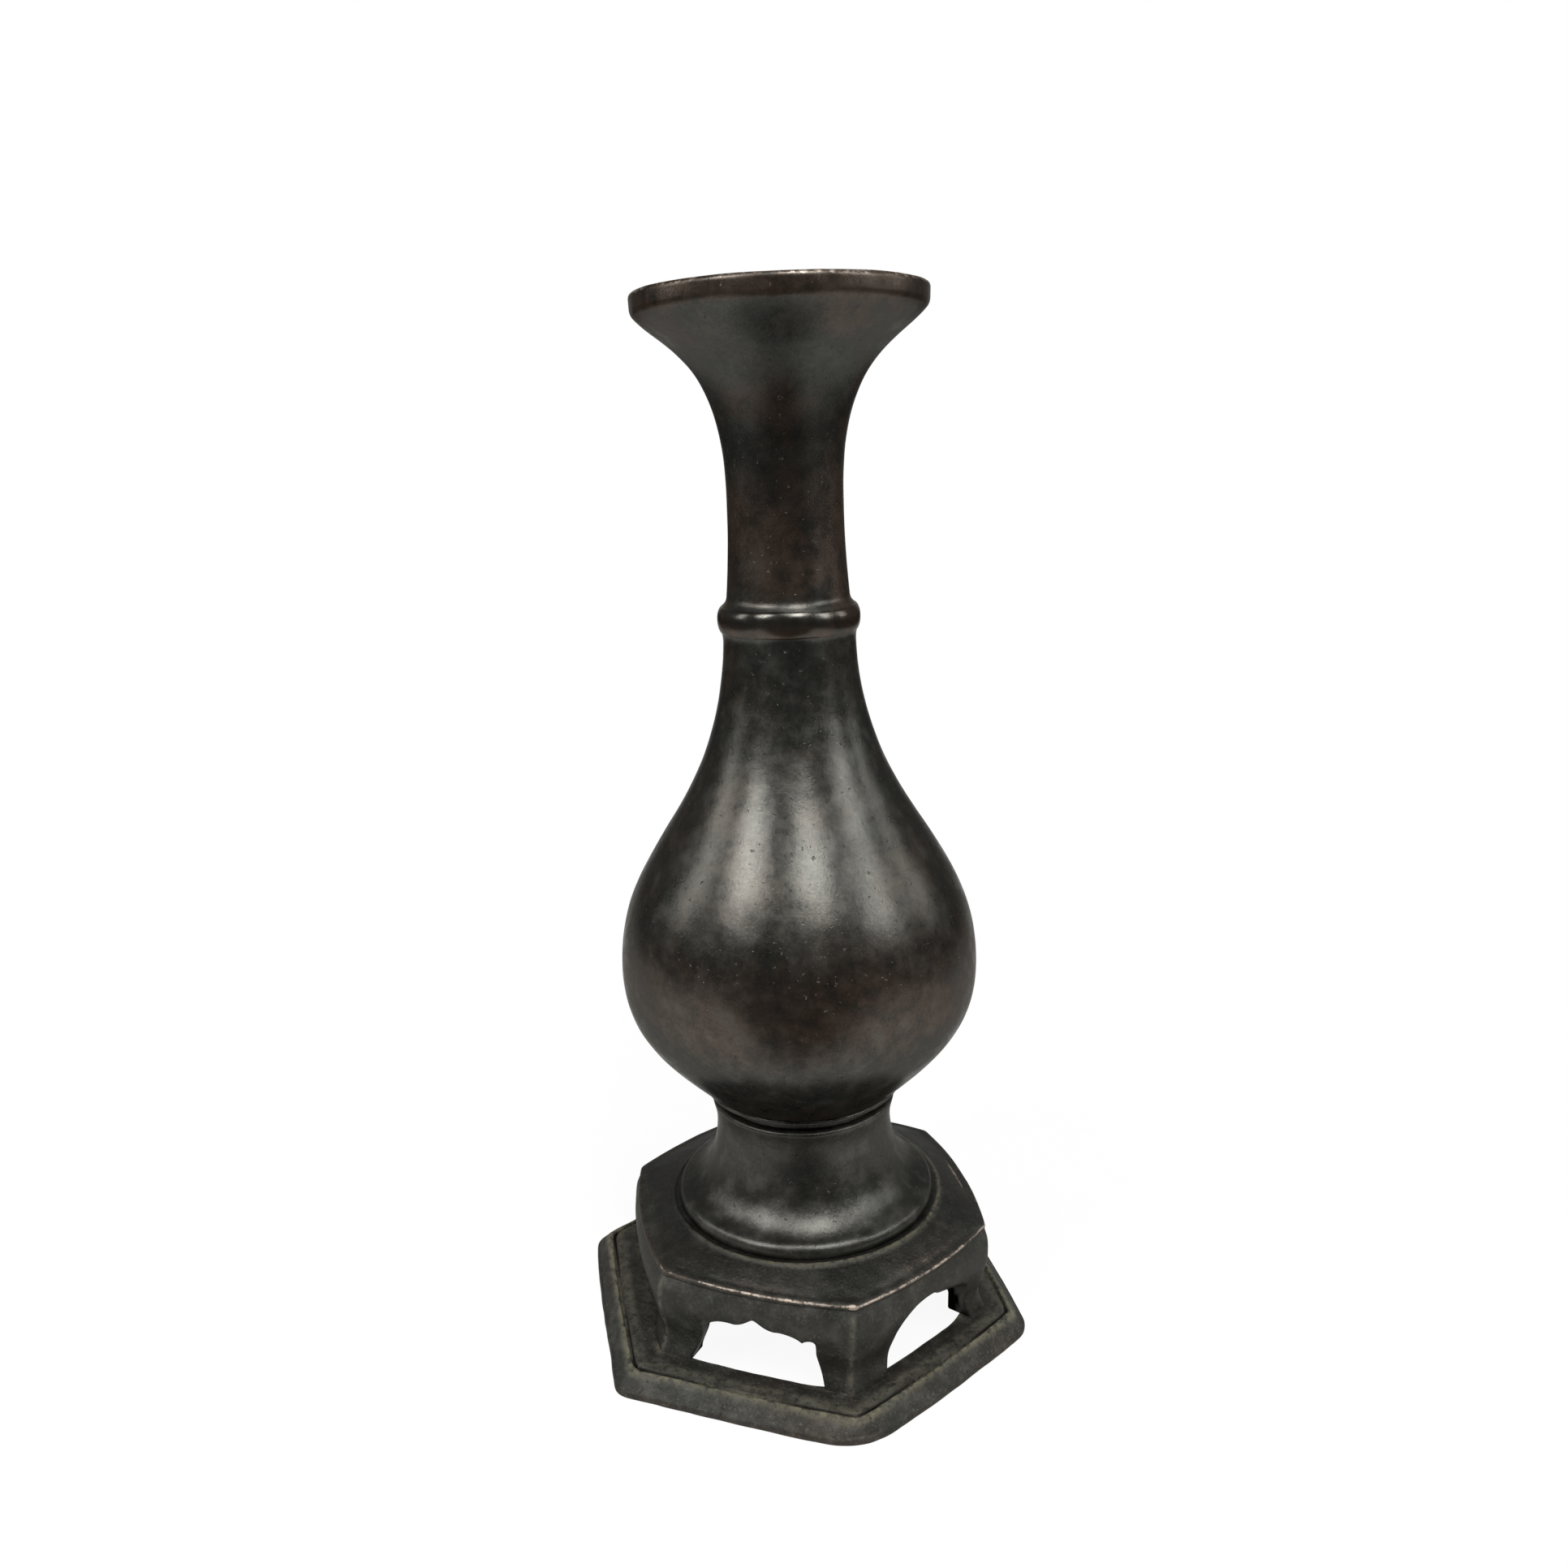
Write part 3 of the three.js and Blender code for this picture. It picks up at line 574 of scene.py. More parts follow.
# %% Joining the stand
bpy.ops.object.select_all(action="DESELECT")
for sheet in sheets + [top_sheet]:
    sheet.select_set(True)
bpy.context.view_layer.objects.active = top_sheet
bpy.ops.object.join()
table = top_sheet
table.name = table.data.name = "openwork_table"
bpy.ops.object.mode_set(mode="EDIT")
bpy.ops.mesh.select_all(action="SELECT")
bpy.ops.mesh.remove_doubles(threshold=0.01 * MM)
bpy.ops.mesh.select_all(action="DESELECT")
bpy.ops.mesh.select_non_manifold()
bpy.ops.mesh.fill_holes(sides=0)
bpy.ops.mesh.select_all(action="SELECT")
bpy.ops.mesh.normals_make_consistent(inside=False)
bpy.ops.mesh.select_all(action="DESELECT")
bpy.ops.mesh.select_non_manifold()
bpy.ops.object.mode_set(mode="OBJECT")
print("edges without two faces:", sum(edge.select for edge in table.data.edges))

# %% [markdown]
# ## The base frame
# An open hexagonal ring of one section: a toe, a sloping band, a fine ridge, a groove, and the ledge
# that the legs stand on. A curve with a bevel profile would round all six corners alike, but here they
# have worn unevenly, so the section is laid round on one more grid.

# %% Base frame
FRAME_APOTHEM = 49.9
FRAME_BOW = 0.8
RIDGE_APOTHEM, RIDGE_HEIGHT = 45.8, 5.05
LEDGE_APOTHEM = 44.7
OPENING_APOTHEM = 38.4
GROOVE_Z = LEDGE_Z - 1.1
TOE_HEIGHT = 2.1
OPENING_CUTS = (12, 12, 14, 16, 9, 9)
TOE_CUTS = (4, 4, 4, 3, 2.8, 9)
LINE_CUTS = (2.4,) * 6


def blend(first, last, share):
    """Corner roundings between two sets of them."""
    return tuple(a + (b - a) * share for a, b in zip(first, last))


def frame_section():
    """(apothem, corner cuts, height) all round the frame's section, from its outer lower edge."""
    def cornered(cuts, points):
        return [(apothem, cuts, height) for apothem, height in points]

    toe = [(FRAME_APOTHEM - 0.9, 0)]
    toe += bend((-0.5, 0.1), (-0.1, 0.3), (-0.1, 0.5), (-0.1, 0.9), 3, at=(FRAME_APOTHEM, 0))
    toe += bend((-0.1, 1.3), (-0.15, 1.8), (-0.3, 2.0), (-0.7, TOE_HEIGHT), 4, at=(FRAME_APOTHEM, 0))
    band = []
    for share in (0.15, 0.3, 0.45, 0.6, 0.75, 0.9, 1):
        height = TOE_HEIGHT + (RIDGE_HEIGHT - 0.3 - TOE_HEIGHT) * (1.25 * share - 0.25 * share ** 2)
        apothem = FRAME_APOTHEM - 0.7 + (RIDGE_APOTHEM - FRAME_APOTHEM + 1.5) * share
        band.append((apothem, blend(TOE_CUTS, LINE_CUTS, share), height))
    ridge = bend((0.7, -0.15), (0.4, 0.1), (0.1, 0.05), (-0.1, -0.15), 5, at=(RIDGE_APOTHEM, RIDGE_HEIGHT))
    groove = [(RIDGE_APOTHEM - inwards, height) for inwards, height in (
        (0.28, GROOVE_Z + 0.12), (0.36, GROOVE_Z), (0.72, GROOVE_Z), (0.8, GROOVE_Z + 0.15),
        (0.86, LEDGE_Z - 0.3), (1.02, LEDGE_Z - 0.08), (RIDGE_APOTHEM - LEDGE_APOTHEM + 0.3, LEDGE_Z))]
    ledge = []
    for share in (0.25, 0.5, 0.75, 0.92):
        apothem = LEDGE_APOTHEM - 0.3 + (OPENING_APOTHEM + 0.7 - LEDGE_APOTHEM) * share
        ledge.append((apothem, blend(LINE_CUTS, OPENING_CUTS, share), LEDGE_Z))
    opening = [(OPENING_APOTHEM + out, height) for out, height in (
        (0.4, LEDGE_Z), (0.1, LEDGE_Z - 0.15), (0, LEDGE_Z - 0.5), (0, 2.5), (0, 0))]
    return (cornered(TOE_CUTS, toe) + band + cornered(LINE_CUTS, ridge + groove) + ledge
            + cornered(OPENING_CUTS, opening))


print("the frame's section has", len(frame_section()), "points")

# %% [markdown]
# ### Laying the section round
# The section is repeated round the hexagon, in smaller steps near the corners. Two things aren't even:
# the front left corner sticks out a little, and on the left side the opening is narrower.

# %% The frame's ring
FRAME_STEPS = 40
LEFT_BOW_IN = 3.4
PULLED_CORNER = 57 * Vector((math.cos(math.radians(240)), math.sin(math.radians(240))))
PULL, PULL_REACH = 0.65, 15


def frame_point(side, u, apothem, cuts):
    """A point of the ring in plan, with the ring's two oddities."""
    inside = ramp(LEDGE_APOTHEM - apothem, 3, 6) if side == LEFT_SIDE else 0
    point = Vector(side_point(side, u, apothem, FRAME_BOW - LEFT_BOW_IN * inside, cuts))
    share = 1 - ramp((point - PULLED_CORNER).length, 0, PULL_REACH)
    return point + PULLED_CORNER.normalized() * PULL * share


section = frame_section()
section += section[:1]
frame_columns = []
for side in range(6):
    for i in range(FRAME_STEPS):
        u = i / FRAME_STEPS
        u -= 0.35 / math.tau * math.sin(math.tau * u)      # more points near the corners
        frame_columns.append([(*frame_point(side, u, apothem, cuts), z) for apothem, cuts, z in section])
base = add_sheet("base_ring", frame_columns + frame_columns[:1])
bpy.ops.object.mode_set(mode="EDIT")
close_up(0.01)
print("base ring", len(base.data.vertices), "points")

# %% [markdown]
# ## Worn and swollen surfaces
# A hand-finished casting is never quite even. Bumps in a material would leave the outlines too true, so
# a cloud pattern moves each surface in and out by a tenth or two of a millimetre, and reflections waver.

# %% Unevenness
def swell(piece, size, strength, name, free_above=None):
    """Gives a surface the shallow unevenness of a casting: a cloud pattern moves it in and out.
    Where free_above is given, points lower than that stay where they are."""
    clouds = bpy.data.textures.new(name, "CLOUDS")
    clouds.noise_scale = size * MM
    clouds.noise_depth = 2
    push = piece.modifiers.new(name, "DISPLACE")
    push.texture = clouds
    push.texture_coords = "LOCAL"
    push.mid_level = 0.5
    push.strength = strength * MM
    if free_above is not None:
        free = piece.vertex_groups.new(name=name)
        free.add([v.index for v in piece.data.vertices if v.co.z > free_above * MM], 1, "REPLACE")
        push.vertex_group = free.name
    bpy.context.view_layer.objects.active = piece
    bpy.ops.object.modifier_apply(modifier=push.name)


swell(mouth, 14, 0.22, "mouth_swell")
swell(ring, 9, 0.2, "ring_swell")
swell(body, 22, 0.35, "body_swell")
swell(foot, 12, 0.22, "foot_swell")
swell(mouth, 6, 0.05, "mouth_hammering")
swell(body, 7, 0.07, "body_hammering")
swell(foot, 6, 0.05, "foot_hammering")
swell(table, 9, 0.3, "table_swell")
swell(base, 7, 0.35, "base_swell", free_above=0.2)
print("unevenness applied to 6 pieces")

# %% [markdown]
# ## Marks for the materials
# Some of the patina follows the shape: edges are worn bright and carry painted highlights, pale dust
# lies in grooves, and some hollows and faces are darkened by painted shade. Instead of painted textures,
# each piece stores these amounts at its points, worked out from its measures while it still stands
# upright. On the vase the lip's top is worn bare and carries painted highlights, the flare, the ring and
# the belly are brown where hands held them, and the neck's and foot's front is darkened by a painted
# dark reflection.

# %% Marks on the vase
FRONT_ANGLE = -74


def read_points(piece, kind="co"):
    """The place of each point in metres, or its normal, one row for each."""
    values = np.empty(len(piece.data.vertices) * 3, np.float32)
    piece.data.vertices.foreach_get(kind, values)
    return values.reshape(-1, 3)


def measured(piece):
    """A piece's points, their distances from the axis and their heights, all in millimetres."""
    points = read_points(piece) / MM
    return points, np.hypot(points[:, 0], points[:, 1]), points[:, 2]


def mark(piece, **marks):
    """Stores a value from 0 to 1 at each point, under each of the given names."""
    for name, values in marks.items():
        values = np.clip(values, 0, 1).astype(np.float32)
        piece.data.attributes.new(name, "FLOAT", "POINT").data.foreach_set("value", values)


def fall(x, low, high):
    """1 below low, 0 above high, and smooth between."""
    return ramp(-x, -high, -low)


def near(x, middle, half):
    """1 at the middle, 0 further off than half."""
    return 1 - ramp(np.abs(x - middle), 0, half)


def facing_front(p, half):
    """1 where a round piece faces the front, 0 further round than half, in degrees."""
    turn = np.degrees(np.arctan2(p[:, 1], p[:, 0])) - FRONT_ANGLE
    return near((turn + 180) % 360 - 180, 0, half)


p, r, z = measured(mouth)
# the lip's wear is real wear and painted highlight, and shade on the neck's front is a painted dark
# reflection
mark(mouth, wear=0.70 * ramp(z, TOP_Z - 0.9, TOP_Z - 0.3) * ramp(r, LIP_RADIUS - 3, LIP_RADIUS - 2),
     brown=ramp(z, CREASE_Z - 0.3, CREASE_Z + 0.5) + 0.7 * fall(z, 196, 207) * ramp(z, NECK_Z, NECK_Z + 6),
     shade=0.42 * facing_front(p, 70) * near(z, 208, 34))
p, r, z = measured(ring)
mark(ring, brown=0.2 + 0.8 * fall(z, JOINT_Z - 1.5, JOINT_Z + 0.5))
p, r, z = measured(body)
mark(body, wear=0.3 * near(z, WAIST_Z + 0.9, 0.8) * ramp(r, 23, 23.6), brown=0.85 * near(z, 93, 17))
p, r, z = measured(foot)
# the foot's shade is a painted dark reflection on its front
mark(foot, brown=0.3 * near(z, 52, 6), shade=0.5 * facing_front(p, 34) * near(z, 51, 11))
print("the vase is marked")

# %% [markdown]
# ### Marks on the table
# The table's rounded edge is worn bare in patches, most at the two front corners, and the worn patches
# also carry painted highlights. Dust lies along the raised line and down the corners. The inside is
# darkened by painted shade, and the top a little.

# %% The table's marks
CORNER_STEP = math.pi / 3
CORNER_RADIUS = 45.4


def apothem_at(p):
    """How far each point is from the middle, measured square to the nearest side of the hexagon."""
    angles = np.radians(30 + 60 * np.arange(6))
    return np.max(p[:, :1] * np.cos(angles) + p[:, 1:2] * np.sin(angles), axis=1)


def corner_distance(p):
    """How far each point is, sideways, from the line to the nearest corner of the hexagon."""
    angle = np.arctan2(p[:, 1], p[:, 0])
    return np.hypot(p[:, 0], p[:, 1]) * np.abs(np.sin(angle - np.round(angle / CORNER_STEP) * CORNER_STEP))


def near_corner(p, corner, half):
    """1 at a corner of the table, 0 further off than half."""
    angle = corner * CORNER_STEP
    x, y = CORNER_RADIUS * math.cos(angle), CORNER_RADIUS * math.sin(angle)
    return near(np.hypot(p[:, 0] - x, p[:, 1] - y), 0, half)


p, r, z = measured(table)
out = apothem_at(p)
slope = read_points(table, "normal")[:, 2]
rounded = ramp(slope, 0.06, 0.25) * fall(slope, 0.87, 0.94)
edge = rounded * ramp(out, TABLE_APOTHEM - 1.3, TABLE_APOTHEM - 0.6)
corner_wear_and_highlight = np.maximum(1.8 * near_corner(p, 5, 2.4), 1.1 * near_corner(p, 4, 9) * rounded)
# wear on the edge and the front corners is real wear and painted highlight; shade is painted shade inside and
# on the top
mark(table,
     wear=np.maximum(0.8 * edge * ramp(z, EDGE_Z + 0.2, EDGE_Z + 0.9),
                     corner_wear_and_highlight * ramp(z, EDGE_Z + 0.2, EDGE_Z + 0.8)),
     brown=0.8 * edge * ramp(z, EDGE_Z - 0.3, EDGE_Z + 0.3),
     dust=np.maximum(
         near(r, RING_LINE_RADIUS + 0.1, 1.0) * ramp(z, SEAT_Z - 0.8, SEAT_Z),
         0.55 * near(corner_distance(p), 0, 1.2) * ramp(r, 41, 42) * fall(z, EDGE_Z - 2, EDGE_Z + 0.5)),
     shade=fall(out, TABLE_APOTHEM - 1.6, TABLE_APOTHEM - 0.5) * np.maximum(
         fall(z, EDGE_Z - 3, EDGE_Z - 1.5), 0.32 * ramp(z, EDGE_Z + 0.4, EDGE_Z + 1.2)))
print("the table's edge is worn at", int((edge > 0.5).sum()), "points")

# %% [markdown]
# ### Marks on the frame
# Painted shade darkens the groove and the opening's walls. Dust lies along the ridge, on the ledge and
# along the opening, and the toe is brown.

# %% The frame's marks
p, r, z = measured(base)
out = apothem_at(p)
# shade is painted shade in the groove and on the opening's walls
mark(base,
     shade=np.maximum(
         fall(z, LEDGE_Z - 0.7, LEDGE_Z - 0.25) * near(out, RIDGE_APOTHEM - 0.5, 0.5),
         fall(out, OPENING_APOTHEM, OPENING_APOTHEM + 0.5) * fall(z, LEDGE_Z - 1, LEDGE_Z - 0.3)),
     dust=np.maximum.reduce([
         0.9 * near(out, OPENING_APOTHEM + 0.3, 1.3) * ramp(z, 4, 5),
         1.2 * near(out, RIDGE_APOTHEM + 0.6, 1.9) * ramp(z, 3.2, 4.4)
         * ramp(out, RIDGE_APOTHEM - 0.3, RIDGE_APOTHEM),
         0.45 * near(out, LEDGE_APOTHEM - 0.6, 2.2) * ramp(z, 4.7, 5)]),
     brown=0.6 * fall(z, 0.4, 2.2))
print("the frame's widest point is", round(float(out.max()), 1), "mm out")

# %% [markdown]
# ## The lip's tilt
# The flare is bent a little, so that its right side is higher. A Simple Deform would bend the neck
# too. Lifting points by how far right they lie touches the flare alone.

# %% Tipping the lip
VIEW_RIGHT = (0.956, 0.294)


def tip(piece, low, high, degrees):
    """Lifts the right side of everything above low, fully from high up."""
    points = read_points(piece)
    across = points[:, 0] * VIEW_RIGHT[0] + points[:, 1] * VIEW_RIGHT[1]
    points[:, 2] += across * math.tan(math.radians(degrees)) * ramp(points[:, 2] / MM, low, high)
    piece.data.vertices.foreach_set("co", points.ravel())
    piece.data.update()


tip(mouth, 212, CREASE_Z, 0.45)
print("the lip's highest point is", round(float(read_points(mouth)[:, 2].max()) / MM, 1), "mm up")

# %% [markdown]
# ## Into place
# The vase's pieces lean together, the table stands square on its frame, and each takes over from the
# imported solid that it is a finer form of. Applying the place leaves every object at the origin.

# %% Placing the pieces
def finish_piece(piece, place, sharp=40):
    """Puts a piece in its place, with that place in its mesh, and shades it smooth."""
    bpy.ops.object.select_all(action="DESELECT")
    piece.select_set(True)
    bpy.context.view_layer.objects.active = piece
    piece.matrix_world = place
    bpy.ops.object.transform_apply(location=True, rotation=True, scale=True)
    bpy.ops.object.shade_smooth_by_angle(angle=math.radians(sharp))
    count = sum(len(face.vertices) - 2 for face in piece.data.polygons)
    print(piece.name, "has", count, "triangles")


PLACED = (
    (mouth, VASE_PLACE, "mouth_neck", "bronze_brown"),
    (ring, VASE_PLACE, "neck_ring", "bronze_brown"),
    (body, VASE_PLACE, "body", "bronze_dark"),
    (foot, VASE_PLACE, "foot", "bronze_dark"),
    (table, STANDING, "stand_table", "bronze_stand"),
    (base, Matrix.Identity(4), "base_frame", "bronze_dull"),
)
for piece, place, node, slot in PLACED:
    finish_piece(piece, place)
    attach(piece, "root")
    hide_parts(node)

# %% [markdown]
# ## Patina
# Old bronze is brown-black oxide under thin wax, and the metal still shines through. A dark plastic
# would shine most at its outlines. The real vase shines where it faces the eye and goes dark at its
# silhouette, so its skin is six tenths metal, with a high refractive index and a dark tint.

# %% Node helpers
def empty_tree(owner):
    """The node tree of a material or a world, with nothing in it."""
    owner.use_nodes = True
    owner.node_tree.nodes.clear()
    return owner.node_tree


def add_node(tree, kind, inputs=None, **settings):
    """Adds a node with those settings. Its inputs are set to values or linked to nodes' outputs."""
    node = tree.nodes.new("ShaderNode" + kind)
    for name, value in settings.items():
        setattr(node, name, value)
    for name, value in (inputs or {}).items():
        if isinstance(value, bpy.types.NodeSocket):
            tree.links.new(value, node.inputs[name])
        else:
            node.inputs[name].default_value = value
    return node


def add_noise(tree, place, scale, detail, rough):
    """A noise whose clouds are about 1 / scale millimetres across."""
    mapping = add_node(tree, "Mapping", {"Vector": place, "Scale": (1 / MM,) * 3})
    noise = add_node(tree, "TexNoise", {
        "Vector": mapping.outputs["Vector"], "Scale": scale, "Detail": detail, "Roughness": rough})
    return noise.outputs["Fac"]


def add_ramp(tree, value, low, high, at_low=0, at_high=1, curve="SMOOTHSTEP"):
    """Goes from at_low to at_high while the value goes from low to high."""
    node = add_node(tree, "MapRange", {
        "Value": value, "From Min": low, "From Max": high, "To Min": at_low, "To Max": at_high},
        interpolation_type=curve)
    return node.outputs["Result"]


def add_math(tree, operation, a, b=0, clamp=False):
    return add_node(tree, "Math", {0: a, 1: b}, operation=operation, use_clamp=clamp).outputs["Value"]


def times(tree, a, b, clamp=False):
    return add_math(tree, "MULTIPLY", a, b, clamp)


def add_mix(tree, amount, a, b):
    return add_node(tree, "Mix", {"Factor": amount, "A": a, "B": b}, data_type="RGBA").outputs["Result"]


def add_mark(tree, name):
    return add_node(tree, "Attribute", attribute_name=name).outputs["Fac"]


print("node helpers ready")

# %% [markdown]
# ### The patina's colour
# Charcoal and brown come first, then a greyish film, pale specks, khaki dust, worn metal with painted
# highlights, and painted shade. Each is mixed over the ones before; the real layers go in the order they
# formed on the real one.

# %% Patina's colour
CHARCOAL = (0.014, 0.0145, 0.0125, 1)
BROWN = (0.036, 0.0195, 0.0115, 1)
GREY = (0.052, 0.051, 0.045, 1)
# bare metal colour, used both for real wear and for painted highlights
WORN_AND_HIGHLIGHT = (0.42, 0.35, 0.29, 1)
# near-black used as painted shade where the shade mark says
PAINTED_SHADE_COLOUR = (0.004, 0.004, 0.0035, 1)
KHAKI = (0.135, 0.126, 0.088, 1)


def patina(tree, place, patches, speckle, brown, dust, grey, dark, warm):
    """The skin's colour, and the shares of it that are dusty, worn with painted highlights, and in painted
    shade.
    """
    clouds = add_ramp(tree, add_noise(tree, place, 0.05, 5, 0.6), 0.40, 0.62)
    handled = times(tree, add_mark(tree, "brown"), 0.9)
    browning = add_math(tree, "ADD", handled, times(tree, clouds, brown), True)
    patchy = times(tree, browning, add_ramp(tree, patches, 0.26, 0.56), True)
    colour = add_mix(tree, patchy, dark, warm)
    film = times(tree, add_ramp(tree, patches, 0.46, 0.74), grey, True)
    colour = add_mix(tree, film, colour, GREY)
    specks = times(tree, add_ramp(tree, speckle, 0.60, 0.74), 0.5)
    colour = add_mix(tree, specks, colour, GREY)

    dust_edge = add_ramp(tree, add_noise(tree, place, 0.7, 6, 0.7), 0.34, 0.60)
    lodged = times(tree, add_mark(tree, "dust"), dust_edge, True)
    loose = times(tree, add_ramp(tree, speckle, 0.56, 0.72), dust, True)
    dusty = add_math(tree, "MAXIMUM", lodged, loose)
    colour = add_mix(tree, dusty, colour, KHAKI)
    # the wear mark holds real wear and painted highlights
    ragged = add_math(tree, "SUBTRACT", add_noise(tree, place, 0.45, 7, 0.75), 0.5)
    worn_and_highlight = add_math(tree, "ADD", add_mark(tree, "wear"), times(tree, ragged, 1.3))
    worn_and_highlight = add_ramp(tree, worn_and_highlight, 0.66, 0.9)
    colour = add_mix(tree, worn_and_highlight, colour, WORN_AND_HIGHLIGHT)
    # painted shade from the shade mark
    painted_shade = add_mark(tree, "shade")
    return add_mix(tree, painted_shade, colour, PAINTED_SHADE_COLOUR), dusty, worn_and_highlight, painted_shade


print("the patina has 6 colours")

# %% [markdown]
# ### The patina's shine
# Wax fills the skin unevenly, so sheen and gloss drift in patches. Dust and painted shade have no sheen,
# and worn spots, which also carry painted highlights, are bare metal. Two Bump nodes in a row add casting
# pits and a fine grain, which is far lighter than modelling them.

# %% Bronze
METAL_SHARE = 0.6
SKIN_TINT = (0.345, 0.34, 0.31, 1)


def pitted(tree, place, speckle, pits, grain):
    """The normal of a skin with pits and grain of those depths."""
    holes = add_ramp(tree, add_noise(tree, place, 0.9, 3, 0.5), 0.33, 0.24)
    pit_bump = add_node(tree, "Bump", {"Distance": pits * MM, "Height": holes}, invert=True)
    grain_bump = add_node(tree, "Bump", {
        "Distance": grain * MM, "Height": speckle, "Normal": pit_bump.outputs["Normal"]})
    return grain_bump.outputs["Normal"]


def bronze(name, gloss, pits, grain, brown=0.0, dust=0.0, grey=0.0, dark=CHARCOAL, warm=BROWN, wax=4.0):
    """Patinated bronze. gloss is the roughness at its smoothest, and pits and grain are depths in
    millimetres. brown, dust and grey add to what the marks say, and wax is the refractive index."""
    material = bpy.data.materials.new(name)
    tree = empty_tree(material)
    place = add_node(tree, "TexCoord").outputs["Object"]
    patches = add_noise(tree, place, 0.22, 6, 0.65)
    speckle = add_noise(tree, place, 1.5, 6, 0.7)
    colour, dusty, worn_and_highlight, painted_shade = patina(tree, place, patches, speckle, brown, dust, grey, dark, warm)

    bare = add_math(tree, "SUBTRACT", 1, dusty)
    metal = add_math(tree, "MAXIMUM", times(tree, bare, METAL_SHARE), worn_and_highlight)
    sheen = add_math(tree, "ADD", times(tree, speckle, 0.6), patches)
    sheen = times(tree, add_ramp(tree, sheen, 0.5, 1.1), 0.42)
    sheen = times(tree, add_math(tree, "ADD", sheen, 0.28), bare)
    sheen = times(tree, sheen, add_math(tree, "SUBTRACT", 1, painted_shade))
    rough = add_ramp(tree, patches, 0.3, 0.75, gloss, gloss + 0.14, "LINEAR")
    rough = add_math(tree, "ADD", rough, times(tree, dusty, 0.4), True)
    shader = add_node(tree, "BsdfPrincipled", {
        "Base Color": colour, "Metallic": metal, "IOR": wax, "Specular Tint": SKIN_TINT,
        "Specular IOR Level": sheen, "Roughness": rough,
        "Normal": pitted(tree, place, speckle, pits, grain)})
    add_node(tree, "OutputMaterial", {"Surface": shader.outputs["BSDF"]})
    return material


vase_bronze = bronze("bronze_charcoal", 0.245, 0.08, 0.035, brown=0.4, grey=0.3)
neck_bronze = bronze("bronze_brown_black", 0.28, 0.08, 0.045, brown=0.9)
ring_bronze = bronze("bronze_waxed", 0.17, 0.02, 0.015, brown=0.5)
foot_bronze = bronze("bronze_foot", 0.30, 0.08, 0.05, brown=0.1, grey=0.5)
table_bronze = bronze("bronze_dull_top", 0.38, 0.14, 0.2, brown=0.2, dust=0.4, grey=0.4, wax=3.4)
frame_bronze = bronze("bronze_dusty", 0.42, 0.2, 0.28, brown=0.35, dust=0.6, grey=0.7, wax=3.1)
raw_bronze = bronze("bronze_raw", 0.42, 0.05, 0.08, dark=(0.12, 0.085, 0.045, 1), warm=(0.1, 0.06, 0.03, 1))
print("materials:", [material.name for material in bpy.data.materials if material.use_nodes])

# %% [markdown]
# ### Dressing the pieces
# Each of the six castings wears its own bronze. The plug and the nine fasteners keep their packed
# solids, so only the material in their slot is changed.

# %% Dressing
for piece, material in ((mouth, neck_bronze), (ring, ring_bronze), (body, vase_bronze), (foot, foot_bronze),
                        (table, table_bronze), (base, frame_bronze)):
    piece.data.materials.clear()
    piece.data.materials.append(material)
hidden = ["body_plug"] + [f"leg_pin_{i}" for i in range(1, 7)] + [f"foot_rivet_{i}" for i in range(1, 4)]
for name in hidden:
    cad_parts[name].material_slots[0].material = raw_bronze
print(len(hidden), "hidden pieces are raw bronze")

# %% [markdown]
# ## Floor
# The vase stands on a pale floor in front of white. Near the vase the floor is lit, so that it takes a
# shadow, and further off it fades into white. Towards the camera and far out to both sides it is dark
# for reflections alone, because the real vase mirrors something dark there. A dark plane would be seen.

# %% Floor
FLOOR_RADIUS = 6
TO_CAMERA = (0.277, -0.961, 0)
BESIDE_CAMERA = (0.961, 0.277, 0)


def add_dot(tree, vector, direction):
    """How far a vector goes in a direction."""
    node = add_node(tree, "VectorMath", {0: vector, 1: direction}, operation="DOT_PRODUCT")
    return node.outputs["Value"]


bpy.ops.mesh.primitive_circle_add(vertices=96, radius=FLOOR_RADIUS, fill_type="NGON")
floor = bpy.context.object
floor.name = "floor"
floor_material = bpy.data.materials.new("pale_floor")
tree = empty_tree(floor_material)
ray = add_node(tree, "LightPath").outputs
spot = add_node(tree, "TexCoord").outputs["Object"]
distance = add_node(tree, "VectorMath", {0: spot}, operation="LENGTH").outputs["Value"]
seen = add_math(tree, "MAXIMUM", ray["Is Camera Ray"], ray["Is Glossy Ray"])
seen = add_math(tree, "MAXIMUM", seen, ray["Is Transmission Ray"])
whitened = times(tree, seen, add_ramp(tree, distance, 0.06, 0.3, 0.93, 1, "LINEAR"))
aside = add_math(tree, "ABSOLUTE", add_dot(tree, spot, BESIDE_CAMERA))
in_front = add_math(tree, "SUBTRACT", add_dot(tree, spot, TO_CAMERA), times(tree, aside, 0.8))
pale = add_math(tree, "MINIMUM", add_ramp(tree, in_front, 0.07, 0.12, 1, 0.05),
                add_ramp(tree, aside, 0.30, 0.55, 1, 0.05))
lit = add_node(tree, "BsdfDiffuse", {"Color": (0.88, 0.88, 0.87, 1)})
white = add_node(tree, "Emission", {"Strength": add_math(tree, "MAXIMUM", pale, ray["Is Camera Ray"])})
surface = add_node(tree, "MixShader", {"Fac": whitened, 1: lit.outputs["BSDF"], 2: white.outputs["Emission"]})
add_node(tree, "OutputMaterial", {"Surface": surface.outputs["Shader"]})
floor.data.materials.append(floor_material)
print("floor radius", FLOOR_RADIUS, "m")

# %% [markdown]
# ## Camera
# The camera looks down on the vase from the front right, from where the circles of the lip, the ring
# and the foot look as flat as they do. Track To would lose its small roll, so its axes are worked out.

# %% Camera
CAMERA_PLACE = Vector((78.8, -273.42, 208.27)) * MM
TURN = math.radians(15.877)
YAW, PITCH, ROLL = -0.0222, 0.257, 0.0055

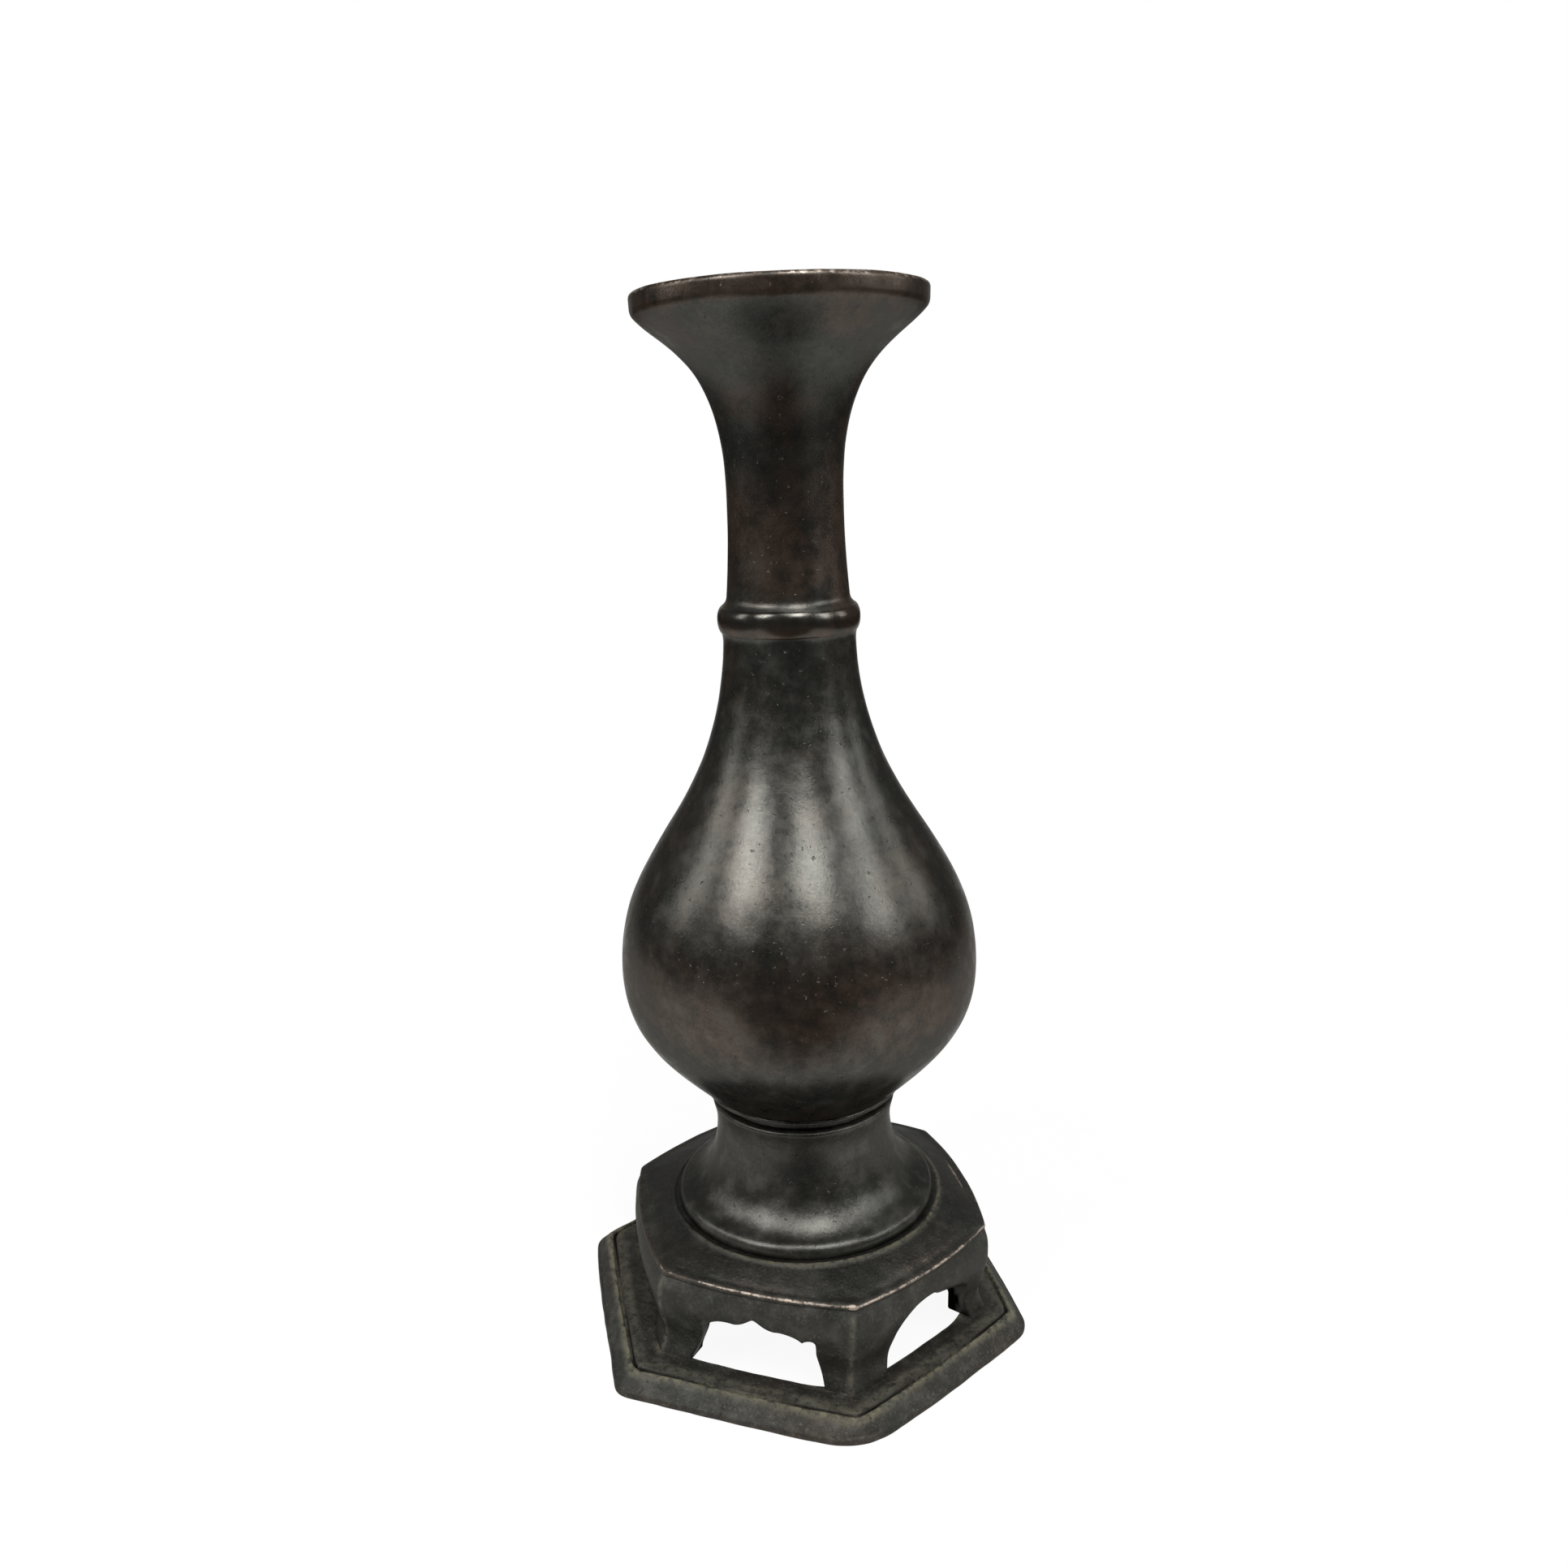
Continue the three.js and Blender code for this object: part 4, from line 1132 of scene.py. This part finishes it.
turned = Matrix.Rotation(TURN, 3, "Z")
ahead = turned @ Vector((math.sin(YAW) * math.cos(PITCH), math.cos(YAW) * math.cos(PITCH), -math.sin(PITCH)))
right = turned @ Vector((math.cos(YAW), -math.sin(YAW), 0))
up = right.cross(ahead)
right, up = (right * math.cos(ROLL) + up * math.sin(ROLL), up * math.cos(ROLL) - right * math.sin(ROLL))
camera = bpy.data.objects.new("camera", bpy.data.cameras.new("camera"))
bpy.context.scene.collection.objects.link(camera)
camera.matrix_world = Matrix.Translation(CAMERA_PLACE) @ Matrix((right, up, -ahead)).transposed().to_4x4()
camera.data.sensor_width = 36
camera.data.lens = 29.352
camera.data.clip_start = 0.01
bpy.context.scene.camera = camera
print("camera looks down by", round(math.degrees(PITCH), 1), "degrees")

# %% [markdown]
# ## Lights
# A dark glossy vase is drawn by what it mirrors. Small lights would leave hard spots, so five tall soft
# panels stand round it, each an upright streak on its shoulder, and a wide dim one hangs overhead.

# %% Lights
CAMERA_SIDE = math.atan2(CAMERA_PLACE.y, CAMERA_PLACE.x)
AIM = Vector((0, 0, 0.12))


def soft_light(name, side, height, distance, width, tall, power):
    """A soft light at side degrees to the right of the camera and height degrees up."""
    a, e = CAMERA_SIDE + math.radians(side), math.radians(height)
    offset = Vector((math.cos(a) * math.cos(e), math.sin(a) * math.cos(e), math.sin(e))) * distance
    data = bpy.data.lights.new(name, "AREA")
    data.shape = "RECTANGLE"
    data.size, data.size_y = width, tall
    data.energy = power
    light = bpy.data.objects.new(name, data)
    bpy.context.scene.collection.objects.link(light)
    light.location = AIM + offset
    light.rotation_mode = "QUATERNION"
    light.rotation_quaternion = (-offset).to_track_quat("-Z", "Y")


soft_light("far_left_light", -86, 25, 1.2, 0.24, 0.5, 2.6)
soft_light("left_light", -48, 42, 1.2, 0.27, 0.50, 8.4)
soft_light("front_light", 16, 56, 1.2, 0.28, 0.66, 12)
soft_light("right_light", 65, 32, 1.2, 0.20, 0.50, 4.2)
soft_light("far_right_light", 98, 22, 1.2, 0.12, 0.4, 1.4)
soft_light("top_light", 160, 75, 1.4, 1.3, 1.3, 4)

# %% [markdown]
# ## World
# The camera sees white all round. What lights the vase and is mirrored is a grey room that gets lighter
# towards the white backdrop. An even white world would leave the dark metal pale and flat.

# %% World
VIEW_AHEAD = (-0.294, 0.956, 0)
world = bpy.data.worlds.new("room")
bpy.context.scene.world = world
tree = empty_tree(world)
ray = add_node(tree, "LightPath").outputs
facing = add_dot(tree, add_node(tree, "TexCoord").outputs["Generated"], VIEW_AHEAD)
room = add_ramp(tree, facing, -0.1, 0.9, 0.03, 0.245, "LINEAR")
seen = add_math(tree, "MAXIMUM", ray["Is Glossy Ray"], ray["Is Transmission Ray"])
seen = times(tree, seen, add_ramp(tree, facing, 0.86, 0.95))
seen = add_math(tree, "MAXIMUM", seen, ray["Is Camera Ray"])
background = add_node(tree, "Background", {
    "Color": (1, 1, 1, 1), "Strength": add_math(tree, "MAXIMUM", room, seen)})
add_node(tree, "OutputWorld", {"Surface": background.outputs["Background"]})
bpy.context.scene.view_settings.view_transform = "Standard"
print("world ready:", len(tree.nodes), "nodes")
